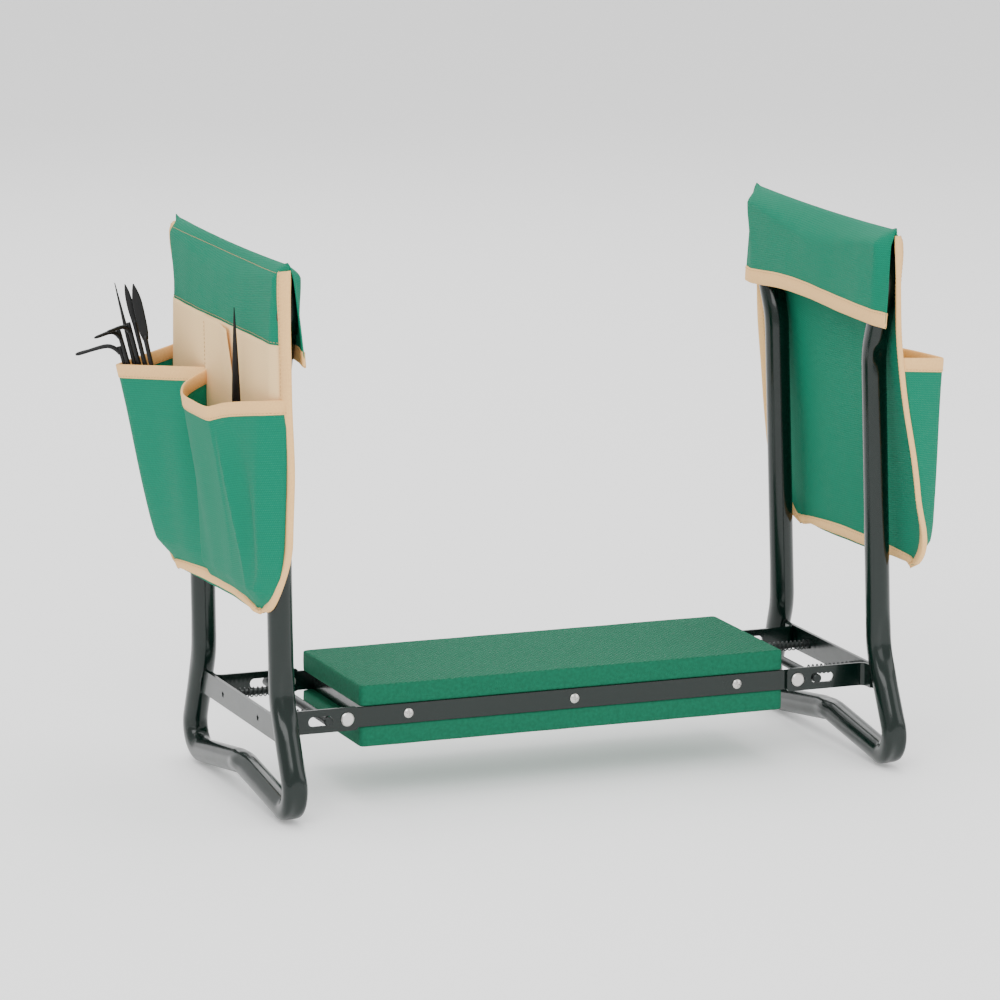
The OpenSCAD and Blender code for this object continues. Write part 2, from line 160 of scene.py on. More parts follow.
def surface(name, base, roughness, metallic=0.0):
    """A material with its Principled node and object coordinates in millimetres."""
    made = bpy.data.materials.new(name)
    made.use_nodes = True
    tree = made.node_tree
    shader = tree.nodes["Principled BSDF"]
    shader.inputs["Base Color"].default_value = (*base, 1)
    shader.inputs["Roughness"].default_value = roughness
    shader.inputs["Metallic"].default_value = metallic
    where = add_node(tree, "ShaderNodeTexCoord")
    scaled = add_node(tree, "ShaderNodeVectorMath", operation="SCALE", at_in0=where.outputs["Object"])
    scaled.inputs["Scale"].default_value = 1000
    return made, tree, shader, scaled.outputs[0]


def shade_with(tree, shader, factor, base, low, high):
    """The base colour goes from low to high times itself with factor."""
    ramp = add_node(tree, "ShaderNodeValToRGB", at_in0=factor)
    ramp.color_ramp.elements[0].color = (*[min(1, c * low) for c in base], 1)
    ramp.color_ramp.elements[1].color = (*[min(1, c * high) for c in base], 1)
    tree.links.new(ramp.outputs["Color"], shader.inputs["Base Color"])


def bump_with(tree, shader, height, distance_mm, strength=1.0):
    bump = add_node(tree, "ShaderNodeBump")
    bump.inputs["Strength"].default_value = strength
    bump.inputs["Distance"].default_value = distance_mm / 1000
    tree.links.new(height, bump.inputs["Height"])
    tree.links.new(bump.outputs["Normal"], shader.inputs["Normal"])
    return bump


def noise(tree, where, size_mm, detail=2.0):
    made = add_node(tree, "ShaderNodeTexNoise", at_in0=where)
    made.inputs["Scale"].default_value = 1 / size_mm
    made.inputs["Detail"].default_value = detail
    return made.outputs["Fac"]


def spread(tree, value, low, high):
    """Maps 0 to 1 onto low to high."""
    return add_node(tree, "ShaderNodeMapRange", at_in0=value, at_in3=low, at_in4=high).outputs[0]


def enamel_material(name, base):
    # stoved gloss enamel: slight orange peel, a clear top layer and a little uneven gloss
    made, tree, shader, where = surface(name, base, 0.2)
    shader.inputs["Specular IOR Level"].default_value = 0.3
    shader.inputs["Coat Weight"].default_value = 0.25
    shader.inputs["Coat Roughness"].default_value = 0.08
    shade_with(tree, shader, noise(tree, where, 45), base, 0.85, 1.15)
    tree.links.new(spread(tree, noise(tree, where, 12, 4), 0.16, 0.3), shader.inputs["Roughness"])
    bump_with(tree, shader, noise(tree, where, 5, 3), 0.12, 0.35)
    return made


def foam_material(name, base, pitch):
    # closed-cell foam: pressed diamond dimples on the two broad faces, fine open cells everywhere; the
    # raised parts between the dimples are painted lighter and the dimples darker, as painted shade
    made, tree, shader, where = surface(name, base, 0.8)
    shader.inputs["Specular IOR Level"].default_value = 0.2
    part = add_node(tree, "ShaderNodeSeparateXYZ", at_in0=where).outputs
    turn = math.pi / pitch
    along = maths(tree, "SINE", maths(tree, "MULTIPLY", maths(tree, "ADD", part[0], part[1]), turn))
    across = maths(tree, "SINE", maths(tree, "MULTIPLY", maths(tree, "SUBTRACT", part[0], part[1]), turn))
    dimple = maths(tree, "POWER", maths(tree, "ABSOLUTE", maths(tree, "MULTIPLY", along, across)), 0.6)
    normal = add_node(tree, "ShaderNodeTexCoord").outputs["Normal"]
    upward = add_node(tree, "ShaderNodeSeparateXYZ", at_in0=normal).outputs[2]
    broad = maths(tree, "GREATER_THAN", maths(tree, "ABSOLUTE", upward), 0.7)
    cells = maths(tree, "MULTIPLY", noise(tree, where, 0.9, 3), 0.35)
    height = maths(tree, "ADD", maths(tree, "MULTIPLY", dimple, broad), cells)
    # painted shade: the colour follows the dimples' height, lighter on the raised parts and darker in the
    # dimples
    dimple_shade = maths(tree, "MULTIPLY", dimple, maths(tree, "MULTIPLY", broad, 0.4))
    shade = maths(tree, "ADD", dimple_shade, noise(tree, where, 3, 4))
    shade_with(tree, shader, shade, base, 0.66, 1.36)
    bump_with(tree, shader, height, 1.0, 0.9)
    return made


def woven_material(name, base, pitch, contrast=0.34, depth_mm=0.5):
    # plain weave of coarse coated yarn: threads over and under, laid along the cloth's own grid
    made, tree, shader, where = surface(name, base, 0.78)
    uv = add_node(tree, "ShaderNodeUVMap", uv_map="cloth_mm").outputs[0]
    part = add_node(tree, "ShaderNodeSeparateXYZ", at_in0=uv).outputs
    turn = 2000 * math.pi / pitch
    warp = maths(tree, "SINE", maths(tree, "MULTIPLY", part[0], turn))
    weft = maths(tree, "SINE", maths(tree, "MULTIPLY", part[1], turn))
    over = maths(tree, "ADD", maths(tree, "MULTIPLY", warp, weft), maths(tree, "MULTIPLY", weft, 0.6))
    yarn = maths(tree, "ADD", maths(tree, "MULTIPLY", over, 0.32), 0.5)
    slub = noise(tree, where, 2.2, 4)
    mixed = maths(tree, "ADD", maths(tree, "MULTIPLY", yarn, 0.75), maths(tree, "MULTIPLY", slub, 0.3))
    shade_with(tree, shader, mixed, base, 1 - contrast, 1 + contrast)
    shader.inputs["Specular IOR Level"].default_value = 0.2
    bump_with(tree, shader, mixed, depth_mm, 0.7)
    return made


def tape_material(name, base):
    # binding tape: fine crossed ribs along and across it
    made, tree, shader, where = surface(name, base, 0.8)
    uv = add_node(tree, "ShaderNodeUVMap", uv_map="cloth_mm").outputs[0]
    part = add_node(tree, "ShaderNodeSeparateXYZ", at_in0=uv).outputs
    rib = maths(tree, "SINE", maths(tree, "MULTIPLY", part[0], 2000 * math.pi / 1.3))
    cross = maths(tree, "SINE", maths(tree, "MULTIPLY", part[1], 2000 * math.pi / 2.6))
    ribs = maths(tree, "MULTIPLY", maths(tree, "MULTIPLY", rib, cross), 0.25)
    mixed = maths(tree, "ADD", ribs, noise(tree, where, 1.6, 4))
    shade_with(tree, shader, mixed, base, 0.84, 1.16)
    bump_with(tree, shader, mixed, 0.3, 0.6)
    return made


def metal_material(name, base, roughness, scratch_mm, metallic=1.0):
    # drawn or turned steel: fine scratches and an uneven polish
    made, tree, shader, where = surface(name, base, roughness, metallic)
    fine = noise(tree, where, scratch_mm, 6)
    tree.links.new(spread(tree, fine, roughness * 0.7, roughness * 1.4), shader.inputs["Roughness"])
    shade_with(tree, shader, noise(tree, where, 14, 3), base, 0.85, 1.1)
    bump_with(tree, shader, fine, 0.05, 0.3)
    return made


def board_material(name, base):
    # sawn board: growth rings stretched along the grain
    made, tree, shader, where = surface(name, base, 0.65)
    stretch = add_node(tree, "ShaderNodeVectorMath", operation="MULTIPLY", at_in0=where, at_in1=(0.04, 1, 1))
    grain = noise(tree, stretch.outputs[0], 6, 6)
    shade_with(tree, shader, grain, base, 0.6, 1.25)
    bump_with(tree, shader, grain, 0.2, 0.5)
    return made


def finishes():
    """The materials, made once from the colour settings."""
    if "Gloss green enamel" not in bpy.data.materials:
        c, s = bpy.context.scene.kneeler_colours, bpy.context.scene.kneeler_sizes
        enamel_material("Gloss green enamel", tuple(c.enamel))
        foam_material("Closed-cell green foam", tuple(c.foam), s.emboss_mm)
        woven_material("Green pouch cloth", tuple(c.cloth), s.weave_mm)
        woven_material("Khaki pocket cloth", tuple(c.khaki), s.weave_mm * 0.8, 0.1, 0.2)
        tape_material("Tan binding tape", tuple(c.tape))
        tape_material("Tan sewing thread", tuple(c.thread))
        metal_material("Zinc plated steel", (0.62, 0.61, 0.58), 0.3, 0.6)
        metal_material("Black oxide steel", (0.03, 0.035, 0.034), 0.38, 0.8, 0.7)
        metal_material("Blackened tool steel", tuple(c.tools), 0.42, 1.2, 0.4)
        board_material("Sawn pine board", hex_colour("b98d5c"))
    return bpy.data.materials


# ---------------------------------------------------------------- geometry helpers


def smooth(t):
    t = np.clip(t, 0, 1)
    return t * t * (3 - 2 * t)


def leg_place(side, points):
    """Points in a leg's frame (u, y, z) to the row frame, in metres."""
    p = np.asarray(points, float)
    lean = math.radians(LEAN[side])
    u, y, z = p[..., 0], p[..., 1], p[..., 2] - PIVOT_Z
    x = REACH + u * math.cos(lean) + z * math.sin(lean)
    up = PIVOT_Z - u * math.sin(lean) + z * math.cos(lean)
    if side == "left":
        x, y = -x, -y
    centre = SEAT_X - PIVOT_X if side == "left" else SEAT_X + PIVOT_X
    return np.stack([centre + x, y, up], -1) / 1000


def unit(v):
    v = np.asarray(v, float)
    return v / np.maximum(np.linalg.norm(v, axis=-1, keepdims=True), 1e-12)


def make_object(name, points_m, faces, material, uv):
    """A smooth mesh object in one of the finishes; uv is in metres of cloth."""
    mesh = bpy.data.meshes.new(name)
    mesh.from_pydata([tuple(p) for p in points_m], [], faces)
    layer = mesh.uv_layers.new(name="cloth_mm")
    loops = np.zeros(len(mesh.loops), np.int64)
    mesh.loops.foreach_get("vertex_index", loops)
    layer.data.foreach_set("uv", np.asarray(uv, np.float32)[loops].ravel())
    mesh.materials.append(finishes()[material])
    mesh.validate()
    mesh.shade_smooth()
    made = bpy.data.objects.new(name, mesh)
    bpy.context.scene.collection.objects.link(made)
    return made


def join(name, objects):
    """One mesh object from several, which are removed."""
    chosen = {"active_object": objects[0], "object": objects[0], "selected_editable_objects": objects}
    with bpy.context.temp_override(**chosen):
        bpy.ops.object.join()
    objects[0].name = name
    objects[0].data.name = name
    return objects[0]


def attach(made, body, slot, *replaced):
    """Fixes a piece to a body, in place of CAD nodes if it stands for any."""
    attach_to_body(made, body)
    if replaced:
        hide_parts(*replaced)


def grid_normals(grid):
    """Normals of a grid of points, pointing along rows cross columns."""
    down = np.gradient(grid, axis=0)
    across = np.gradient(grid, axis=1)
    return unit(np.cross(across, down))


def lengths(points):
    """Distance along a line of points, at each point."""
    return np.concatenate([[0], np.cumsum(np.linalg.norm(np.diff(points, axis=0), axis=-1))])


def cloth(name, grid_m, thick_mm, material):
    """A closed sheet round a grid of points in metres, with its own grid as UV, in metres."""
    rows, cols = grid_m.shape[:2]
    off = grid_normals(grid_m) * thick_mm / 2000
    points = np.concatenate([(grid_m + off).reshape(-1, 3), (grid_m - off).reshape(-1, 3)])
    half = rows * cols
    i, j = np.meshgrid(np.arange(rows - 1), np.arange(cols - 1), indexing="ij")
    a = (i * cols + j).ravel()
    quad = np.stack([a, a + cols, a + cols + 1, a + 1], -1)
    edge = np.concatenate(
        [
            np.arange(cols),
            np.arange(1, rows) * cols + cols - 1,
            (rows - 1) * cols + np.arange(cols - 2, -1, -1),
            np.arange(rows - 2, 0, -1) * cols,
        ]
    )
    nxt = np.roll(edge, -1)
    rim = np.stack([edge, nxt, nxt + half, edge + half], -1)
    faces = np.concatenate([quad[:, ::-1], quad + half, rim[:, ::-1]])
    v = np.stack([lengths(grid_m[:, c]) for c in range(cols)], 1)
    u = np.stack([lengths(grid_m[r]) for r in range(rows)], 0)
    uv = np.stack([u, v], -1).reshape(-1, 2)
    made = make_object(name, points, faces.tolist(), material, np.concatenate([uv, uv]))
    return face_out(made)


def face_out(made):
    """Turns a closed mesh's faces outwards."""
    b = bmesh.new()
    b.from_mesh(made.data)
    bmesh.ops.recalc_face_normals(b, faces=b.faces)
    b.to_mesh(made.data)
    b.free()
    return made


def sweep(name, path_m, sections_m, material, closed=False, uv_width=None):
    """A tube: sections_m holds a ring of offsets from each path point, in metres."""
    rings, n = sections_m.shape[:2]
    points = (path_m[:, None] + sections_m).reshape(-1, 3)
    count = rings if closed else rings - 1
    i, j = np.meshgrid(np.arange(count), np.arange(n), indexing="ij")
    i2, j2 = (i + 1) % rings, (j + 1) % n
    faces = np.stack([i * n + j, i2 * n + j, i2 * n + j2, i * n + j2], -1).reshape(-1, 4).tolist()
    if not closed:
        faces += [list(range(n)), list(range((rings - 1) * n, rings * n))]
    along = np.repeat(lengths(path_m), n)
    width = np.tile(np.linspace(0, uv_width or 0.02, n), rings)
    made = make_object(name, points, faces, material, np.stack([along, width], -1))
    return face_out(made)


def curve_through(points, step):
    """Catmull-Rom curve through points, evenly spaced by about step."""
    p = np.asarray(points, float)
    p = np.concatenate([[2 * p[0] - p[1]], p, [2 * p[-1] - p[-2]]])
    out = []
    for k in range(1, len(p) - 2):
        t = np.linspace(0, 1, 12, endpoint=False)[:, None]
        a, b, c, d = p[k - 1 : k + 3]
        bend = 2 * b + (c - a) * t + (2 * a - 5 * b + 4 * c - d) * t**2
        out.append(0.5 * (bend + (3 * b - a - 3 * c + d) * t**3))
    dense = np.concatenate([*out, p[-2:-1]])
    s = lengths(dense)
    even = np.linspace(0, s[-1], max(2, int(round(s[-1] / step)) + 1))
    return np.stack([np.interp(even, s, dense[:, k]) for k in range(p.shape[1])], -1)


def edge_tape(name, edge_m, inward, normal, width_mm, half_mm):
    """Tape folded round a cloth edge: a U in section, with its open side along inward."""
    inward, normal = unit(inward), unit(normal)
    half = np.broadcast_to(np.asarray(half_mm, float), len(edge_m))
    t = 0.45
    profile = [(width_mm, 0), (width_mm - 0.3, t), (2, t), (0.2, t * 0.8), (-0.7, 0), (-1.0, -0.6)]
    ring = []
    for d, e in profile:
        ring.append((d, e, 1))
    for d, e in reversed(profile):
        ring.append((d, e, -1))
    sections = np.zeros((len(edge_m), len(ring), 3))
    for k, (d, e, way) in enumerate(ring):
        lift = np.maximum(half + e, 0.15) if d > -0.9 else np.full(len(edge_m), 0.35)
        if -0.9 < d < 0:
            lift = half * 0.75 + 0.2
        sections[:, k] = inward * d + normal * (lift * way)[:, None]
    return sweep(name, edge_m, sections / 1000, "Tan binding tape", uv_width=0.024)


# ---------------------------------------------------------------- leg loops


def loop_path():
    """The loop's centreline in Y and Z, its outward normals, and the distances along it of its ten bends."""
    half = [(0, 27), (148, 6.1), (104, 105)]
    top = [(y, 480 - z) for y, z in reversed(half)]
    far = [(-y, z) for y, z in top[-2::-1]] + [(-y, z) for y, z in half[:0:-1]]
    points = np.array(half + top + far, float)
    bends = [40, 22, 60, 60, 22, 40, 22, 60, 60, 22]
    n = len(points)
    path, marks = [], []
    for i in range(n):
        back, on = unit(points[i - 1] - points[i]), unit(points[(i + 1) % n] - points[i])
        angle = math.acos(float(back @ on))
        reach = bends[i] / math.tan(angle / 2)
        start, end = points[i] + back * reach, points[i] + on * reach
        middle = points[i] + unit(back + on) * bends[i] / math.sin(angle / 2)
        a0 = math.atan2(*(start - middle)[::-1])
        turn = math.atan2(*(end - middle)[::-1]) - a0
        turn = (turn + math.pi) % (2 * math.pi) - math.pi
        steps = max(4, int(abs(turn) * bends[i] / 2.5))
        for k in range(steps + 1):
            a = a0 + turn * k / steps
            path.append(middle + bends[i] * np.array([math.cos(a), math.sin(a)]))
        marks.append(len(path) - 1 - steps // 2)
        after, on_next = points[(i + 1) % n], bends[(i + 1) % n]
        back2 = unit(points[i] - after)
        angle2 = math.acos(float(back2 @ unit(points[(i + 2) % n] - after)))
        stop = after + back2 * on_next / math.tan(angle2 / 2)
        run = np.linalg.norm(stop - end)
        for k in range(1, max(1, int(run / 5))):
            path.append(end + (stop - end) * k / max(1, int(run / 5)))
    path = np.array(path)
    ahead = unit(np.roll(path, -1, 0) - np.roll(path, 1, 0))
    outward = np.stack([ahead[:, 1], -ahead[:, 0]], -1)
    s = lengths(path)
    return path, outward, s, [s[m] for m in marks]


def dent(s, at, theta, towards, half_long, half_wide, taper=0.0):
    """1 in the middle of a spoon-shaped dent and 0 outside it."""
    along = (s - at)[:, None] / half_long
    wide = half_wide * (1 - taper * along)
    off = (theta - towards + math.pi) % (2 * math.pi) - math.pi
    across = off[None] / np.maximum(wide, 0.1)
    return np.clip(1 - along**2, 0, 1) ** 1.1 * np.clip(1 - across**2, 0, 1) ** 1.3


def lips(s, at, theta, towards, half_long, half_wide):
    """1 on each of the two raised lips beside a dent."""
    plus = dent(s, at, theta, towards, half_long, half_wide)
    return plus + dent(s, at, theta, -towards, half_long, half_wide)


def tube_loop(side):
    """The bent tube, with the dents that the bending and the pressing leave in it."""
    path, outward, s, bends = loop_path()
    theta = np.linspace(0, 2 * math.pi, 48, endpoint=False)
    radius = np.full((len(path), 48), TUBE_R)
    for i in (1, 4, 6, 9):
        radius -= 3.4 * dent(s, bends[i], theta, 0, 26, 0.8)
        radius += 0.7 * lips(s, bends[i], theta, 0.95, 26, 0.6)
        radius -= 1.6 * dent(s, bends[i], theta, math.pi, 12, 0.9)
    for i, flip in ((2, 1), (8, -1)):
        radius -= 3.6 * dent(s, bends[i] + 2 * flip, theta, 0, 33, 0.74, 0.35 * flip)
        radius += 0.5 * lips(s, bends[i], theta, 1.05, 34, 0.5)
    for i in (3, 7):
        radius -= 2.8 * dent(s, bends[i], theta, 0, 16, 0.7)
    for i in (0, 5):
        place = bends[i] if bends[i] > 1 else s[-1]
        for at in (place, place - s[-1] - 5):
            radius -= 3.4 * dent(s, at, theta, 0, 11, 0.9)
            radius -= 1.2 * dent(s, at, theta, math.pi, 16, 1.0)
            radius += lips(s, at, theta, math.pi / 2, 13, 0.7)
    across = np.cos(theta)[None] * radius
    out = np.sin(theta)[None] * radius
    y = path[:, None, 0] + outward[:, None, 0] * across
    z = path[:, None, 1] + outward[:, None, 1] * across
    grid = np.stack([out, y, z], -1)
    centre = np.stack([np.zeros(len(path)), path[:, 0], path[:, 1]], -1)
    placed, centre_m = leg_place(side, grid), leg_place(side, centre)
    rings = placed - centre_m[:, None]
    made = sweep(f"{side}_bent_tube_loop", centre_m, rings, "Gloss green enamel", closed=True)
    attach(made, f"{side}_leg", "frame_enamel", f"{side}_loop")


def weld_bead(side, y, seed):
    """A lumpy fillet weld round the end of the crossbar; y is its side, -1 or 1."""
    rng = np.random.default_rng(seed)
    corner, leg = 2.0, 0.9
    flat_u, flat_z = (half + leg - corner for half in CROSSBAR_HALF)
    angle = np.linspace(0, 2 * math.pi, 96, endpoint=False)
    u = np.sign(np.cos(angle)) * flat_u * (np.abs(np.cos(angle)) > 0.2) + corner * np.cos(angle)
    z = np.clip(np.sin(angle) * 1.5, -1, 1) * flat_z + corner * np.sin(angle)
    z += PIVOT_Z
    centre = 104 + 44 * (105 - z) / 98.9
    wall = centre - np.sqrt(np.maximum(TUBE_R**2 - (u - 1) ** 2, 0)) * 1.02
    lump = 1.25 + 0.25 * np.sin(angle * 22) + rng.uniform(-0.12, 0.12, 96)
    path = np.stack([u + 1.0, y * wall, z], -1)
    ring = np.linspace(0, 2 * math.pi, 10, endpoint=False)
    radial = unit(np.stack([u, 0 * u, z - PIVOT_Z], -1))
    section = radial[:, None] * np.cos(ring)[None, :, None]
    section = (section + np.array([0, 1, 0]) * np.sin(ring)[None, :, None]) * lump[:, None, None]
    placed = leg_place(side, path[:, None] + section)
    centre_m = leg_place(side, path)
    rings = placed - centre_m[:, None]
    return sweep(f"{side}_weld_{seed}", centre_m, rings, "Gloss green enamel", closed=True)


# ---------------------------------------------------------------- foam pads


def foam_pad(name, node):
    """A foam block with softly broken edges and sides that bow out a little."""
    low, high = (np.array(v) * 1000 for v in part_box(node))
    centre, half = (low + high) / 2, (high - low) / 2
    rng = np.random.default_rng(7 if "top" in name else 8)
    edge, corner, bulge = 1.6, 3.0, 0.25
    outline = []
    for k, (sx, sy) in enumerate(((1, 1), (-1, 1), (-1, -1), (1, -1))):
        for a in np.linspace(0, math.pi / 2, 5):
            turn = a + k * math.pi / 2
            x = sx * (half[0] - corner) + corner * math.cos(turn)
            y = sy * (half[1] - corner) + corner * math.sin(turn)
            outline.append((x, y))
    outline = np.array(outline)
    s = lengths(np.concatenate([outline, outline[:1]]))
    count = 440
    t = np.linspace(0, s[-1], count, endpoint=False)
    ring = np.stack([np.interp(t, s, np.append(outline[:, k], outline[0, k])) for k in range(2)], -1)
    wave = 0
    for waves in (5, 9, 14, 23):
        size, phase = rng.uniform(0.05, 0.12), rng.uniform(0, 6)
        wave = wave + size * np.sin(2 * math.pi * waves * t / s[-1] + phase)

    def layer(scale_x, scale_y, z):
        return np.stack([ring[:, 0] * scale_x, ring[:, 1] * scale_y, np.broadcast_to(z, count)], -1)

    levels = [(-half[2], edge), (-half[2] + edge * 0.3, edge * 0.35), (-half[2] + edge, 0)]
    levels += [(z, 0) for z in np.linspace(-half[2] + edge, half[2] - edge, 7)[1:-1]]
    levels += [(half[2] - edge, 0), (half[2] - edge * 0.3, edge * 0.35), (half[2], edge)]
    inside = (0.25, 0.6, 0.9, 0.97)
    rows = [layer(share, share, -half[2]) for share in inside]
    for z, inset in levels:
        bow = bulge * (1 - (z / half[2]) ** 2)
        scale = (half[:2] - inset - bulge + bow) / half[:2]
        rows.append(layer(*scale, z + wave * 0.4 * (abs(z) > half[2] - 0.1)))
    rows += [layer(share, share, half[2]) for share in reversed(inside)]
    grid = (np.array(rows) + centre) / 1000
    centres = grid.mean(1)
    made = sweep(name, centres, grid - centres[:, None], "Closed-cell green foam")
    made.data.set_sharp_from_angle(angle=math.radians(50))
    attach(made, "seat", "foam", node)


# ---------------------------------------------------------------- pouches

# How far a pouch swings out at its hem on the deep pocket's side and on the other, the height
# where that starts, and the height it takes
FLARE = {"left": (9.0, 3.0, 318, 110), "right": (19.0, 7.0, 400, 185)}
# The rim of both pockets as it is sewn, each point as Y, stand-off from the panel, and height
RIM = {
    "left": [
        (-148, 1, 374), (-144, 22, 369), (-139, 46, 363), (-136, 52.5, 361.5), (-131, 51, 362),
        (-100, 35, 365), (-65, 17, 368.5), (-44, 4, 370.5), (-38, 1, 371), (-34, 1.5, 370),
        (-29, 12, 367), (-20, 25, 363), (-8, 33, 359), (8, 37, 357), (40, 38, 357), (66, 35, 357),
        (74, 31, 359), (92, 26, 364), (120, 14, 369), (148, 1, 373),
    ],
    "right": [
        (-148, 1, 374), (-143, 20, 371), (-137, 36, 368), (-133, 38, 367), (-127, 37, 367),
        (-100, 27, 369), (-65, 12, 371), (-44, 4, 372), (-38, 1, 372), (-34, 1.5, 372),
        (-29, 10, 370), (-20, 18, 368), (-8, 23, 366), (8, 26, 364), (40, 27, 364), (66, 25, 364),
        (74, 22, 366), (92, 18, 368), (120, 10, 371), (148, 1, 373),
    ],
}


def half_width(z, plus):
    """Half width of the pouch at a height, with its lower corner rounded."""
    wide, tall = (60, 76) if plus else (34, 46)
    t = np.clip((HEM_Z + tall - z) / tall, 0, 1)
    return POUCH_Y - wide * (1 - np.sqrt(np.maximum(1 - t * t, 0)))


def spread_y(y, z):
    """Where a column at y lies at height z, so that columns follow the rounded corners."""
    return np.where(y > 0, y * half_width(z, True), y * half_width(z, False)) / POUCH_Y


def wrinkle(y, z, seed, size):
    """Slack in the cloth, as a few slanting waves."""
    rng = np.random.default_rng(seed)
    total = 0.0
    for wave_mm in (160, 95, 60, 38):
        turn = rng.uniform(-0.9, 0.9)
        phase = rng.uniform(0, 6.3)
        across = y * math.cos(turn) + z * math.sin(turn)
        total = total + wave_mm / 95 * np.sin(2 * math.pi * across / wave_mm + phase)
    return total * size


def tent(y, z):
    """0 where the cloth lies on the tube, rising to 1 at the seam above it."""
    over = 458 + 16 * smooth(np.abs(y) / 140)
    return np.clip((z - over) / (seam_z(y) - over), 0, 1)


def panel_u(side, y, z):
    """How far the outer panel stands from the loop's plane; its sides roll back towards the tube."""
    deep, plain, start, long = FLARE[side]
    edge = np.where(y > 0, half_width(z, True), half_width(z, False))
    begin = edge - 22 + 9 * smooth((z - 430) / 40)
    roll = smooth((np.abs(y) - begin) / (edge - begin)) * (0.4 + 0.6 * smooth((z - 190) / 60))
    share = smooth((60 - y) / 210)
    swing = (plain + (deep - plain) * share) * smooth((start - z) / long)
    body = ON_TUBE - 10.6 * roll + swing * (0.45 + 0.55 * smooth(np.abs(y) / 140))
    up = tent(y, z)
    body = body * (1 - up**1.6) + 2.6 * up**1.6
    return body + wrinkle(y, z, 3 if side == "left" else 5, 0.34) * (1 - up)


def seam_z(y):
    """Height of the top seam, with its two small ears."""
    ears = 1.6 * smooth((np.abs(y) - 140) / 9)
    return TOP_Z - 2.4 * (1 - (np.abs(y) / POUCH_Y) ** 2) + ears


def flap_u(side, y, z):
    """The inner flap lies on the tube and hangs a little off it at its open side edges."""
    begin = 128 + 9 * smooth((z - 430) / 40)
    roll = smooth((np.abs(y) - begin) / (POUCH_Y - begin))
    edge = 1.5 + 8.5 * np.clip((TOP_Z - z) / (TOP_Z - FLAP_Z), 0, 1)
    body = ON_TUBE * (1 - roll) + edge * roll
    up = tent(y, z)
    slack = wrinkle(y, z, 11 if side == "left" else 13, 0.32)
    return -(body * (1 - up**1.6)) + 2.4 * up**1.6 + slack * (1 - up)


def columns():
    """Positions across the pouch, closer together near its edges."""
    t = np.linspace(-1, 1, 91)
    return POUCH_Y * (t * (1 - 0.12) + 0.12 * np.sin(t * math.pi / 2))


def panel_grid(side):
    """Outer panel from the top seam down to the hem, in the leg's frame."""
    y0 = columns()[None]
    t = np.concatenate([np.linspace(0, 0.25, 26)[:-1], np.linspace(0.25, 1, 70)])[:, None]
    top = seam_z(y0)
    hem = HEM_Z + 4 * (1 - (y0 / POUCH_Y) ** 2)
    z = top + (hem - top) * t
    y = spread_y(y0, z)
    return np.stack([panel_u(side, y, z), y, z + 0 * y], -1)


def flap_grid(side):
    y0 = columns()[None]
    t = np.linspace(0, 1, 34)[:, None]
    top = seam_z(y0)
    hem = FLAP_Z + 3.0 * np.cos(y0 / POUCH_Y * 2.2) + 1.2 * np.sin(y0 / 31)
    z = hem + (top - hem) * t
    y = y0 + 0 * z
    return np.stack([flap_u(side, y, z), y, z], -1)


def pocket_grid(side):
    """Both tool pockets as one cloth from the rim to the hem, with a crease down the wide one."""
    rim = curve_through(RIM[side], 3.0)
    y0, deep, rim_z = rim[:, 0][None], rim[:, 1][None], rim[:, 2][None]
    t = np.linspace(0, 1, 66)[:, None]
    z = rim_z + (HEM_Z + 1 - rim_z) * t
    y = spread_y(y0, z)
    wide_foot = np.interp(y0, [-38, -24, 128, 148], [0.5, 9, 11, 0.5])
    foot_deep = np.where(y0 < SPLIT_Y, deep * 0.22, wide_foot)
    rim_u = panel_u(side, y0, rim_z) + ON_PANEL + deep
    foot_z = POCKET_FOOT_Z + 0 * y0
    foot_u = panel_u(side, spread_y(y0, foot_z), foot_z) + ON_PANEL + foot_deep
    share = np.clip((rim_z - z) / (rim_z - POCKET_FOOT_Z), 0, 1)
    low = np.clip((z - HEM_Z - 8) / (POCKET_FOOT_Z - HEM_Z - 8), 0, 1)
    on_panel = panel_u(side, y, z) + ON_PANEL
    u = np.where(z > POCKET_FOOT_Z, rim_u + (foot_u - rim_u) * share, on_panel + foot_deep * low)
    s = lengths(rim)[None] / lengths(rim)[-1]
    crease = 72 + 30 * t
    ridge = 4.5 * np.exp(-np.abs(y - crease) / 7) - 5.0 * np.exp(-(((y - crease - 19) / 13) ** 2))
    folds = 1.0 * np.sin(s * 41 + 1.4 * t) + 0.8 * np.sin(s * 23 - 4 * t + 1)
    folds = folds + ridge * smooth((y0 - 30) / 20)
    u = u + folds * np.sin(math.pi * t) * smooth((u - on_panel) / 6)
    return np.stack([np.maximum(u, on_panel), y, z], -1)


def pouch_cover(side):
    """The flap and the outer panel as one cloth that hangs over the top of the loop."""
    panel = leg_place(side, panel_grid(side))
    flap = leg_place(side, flap_grid(side))
    whole = np.concatenate([flap[:-1], panel])
    thick = bpy.context.scene.kneeler_sizes.cloth_mm
    made = cloth(f"{side}_pouch_cover", whole, thick, "Green pouch cloth")
    attach(made, f"{side}_leg", "pouch_cloth", f"{side}_pouch_panel", f"{side}_pouch_flap")


def slip_grid(side, front):
    """The khaki layer behind the tool pockets, or the narrow one on it with a slanting folded edge."""
    t = np.linspace(0, 1, 40)[:, None]
    z = KHAKI_TOP_Z + (KHAKI_FOOT_Z - KHAKI_TOP_Z) * t
    a = np.linspace(0, 1, 60)[None]
    if front:
        fold = 29 + (47 - 29) * (412 - z) / (412 - 351) * 0.9
        y = SPLIT_Y + (fold - SPLIT_Y) * a
        lift = 2.4 + 2.2 * smooth((a - 0.55) / 0.45) * (1 - 0.35 * t) + 0.5 * np.sin(a * 9 + t * 3)
        z = z - 3 * a
    else:
        y = (-141 + 282 * a) + 0 * z
        z = z + 0 * y
        lift = 1.3 + 0.25 * np.sin(y / 13 + z / 29)
    return np.stack([panel_u(side, y, z) + lift, y, z], -1)


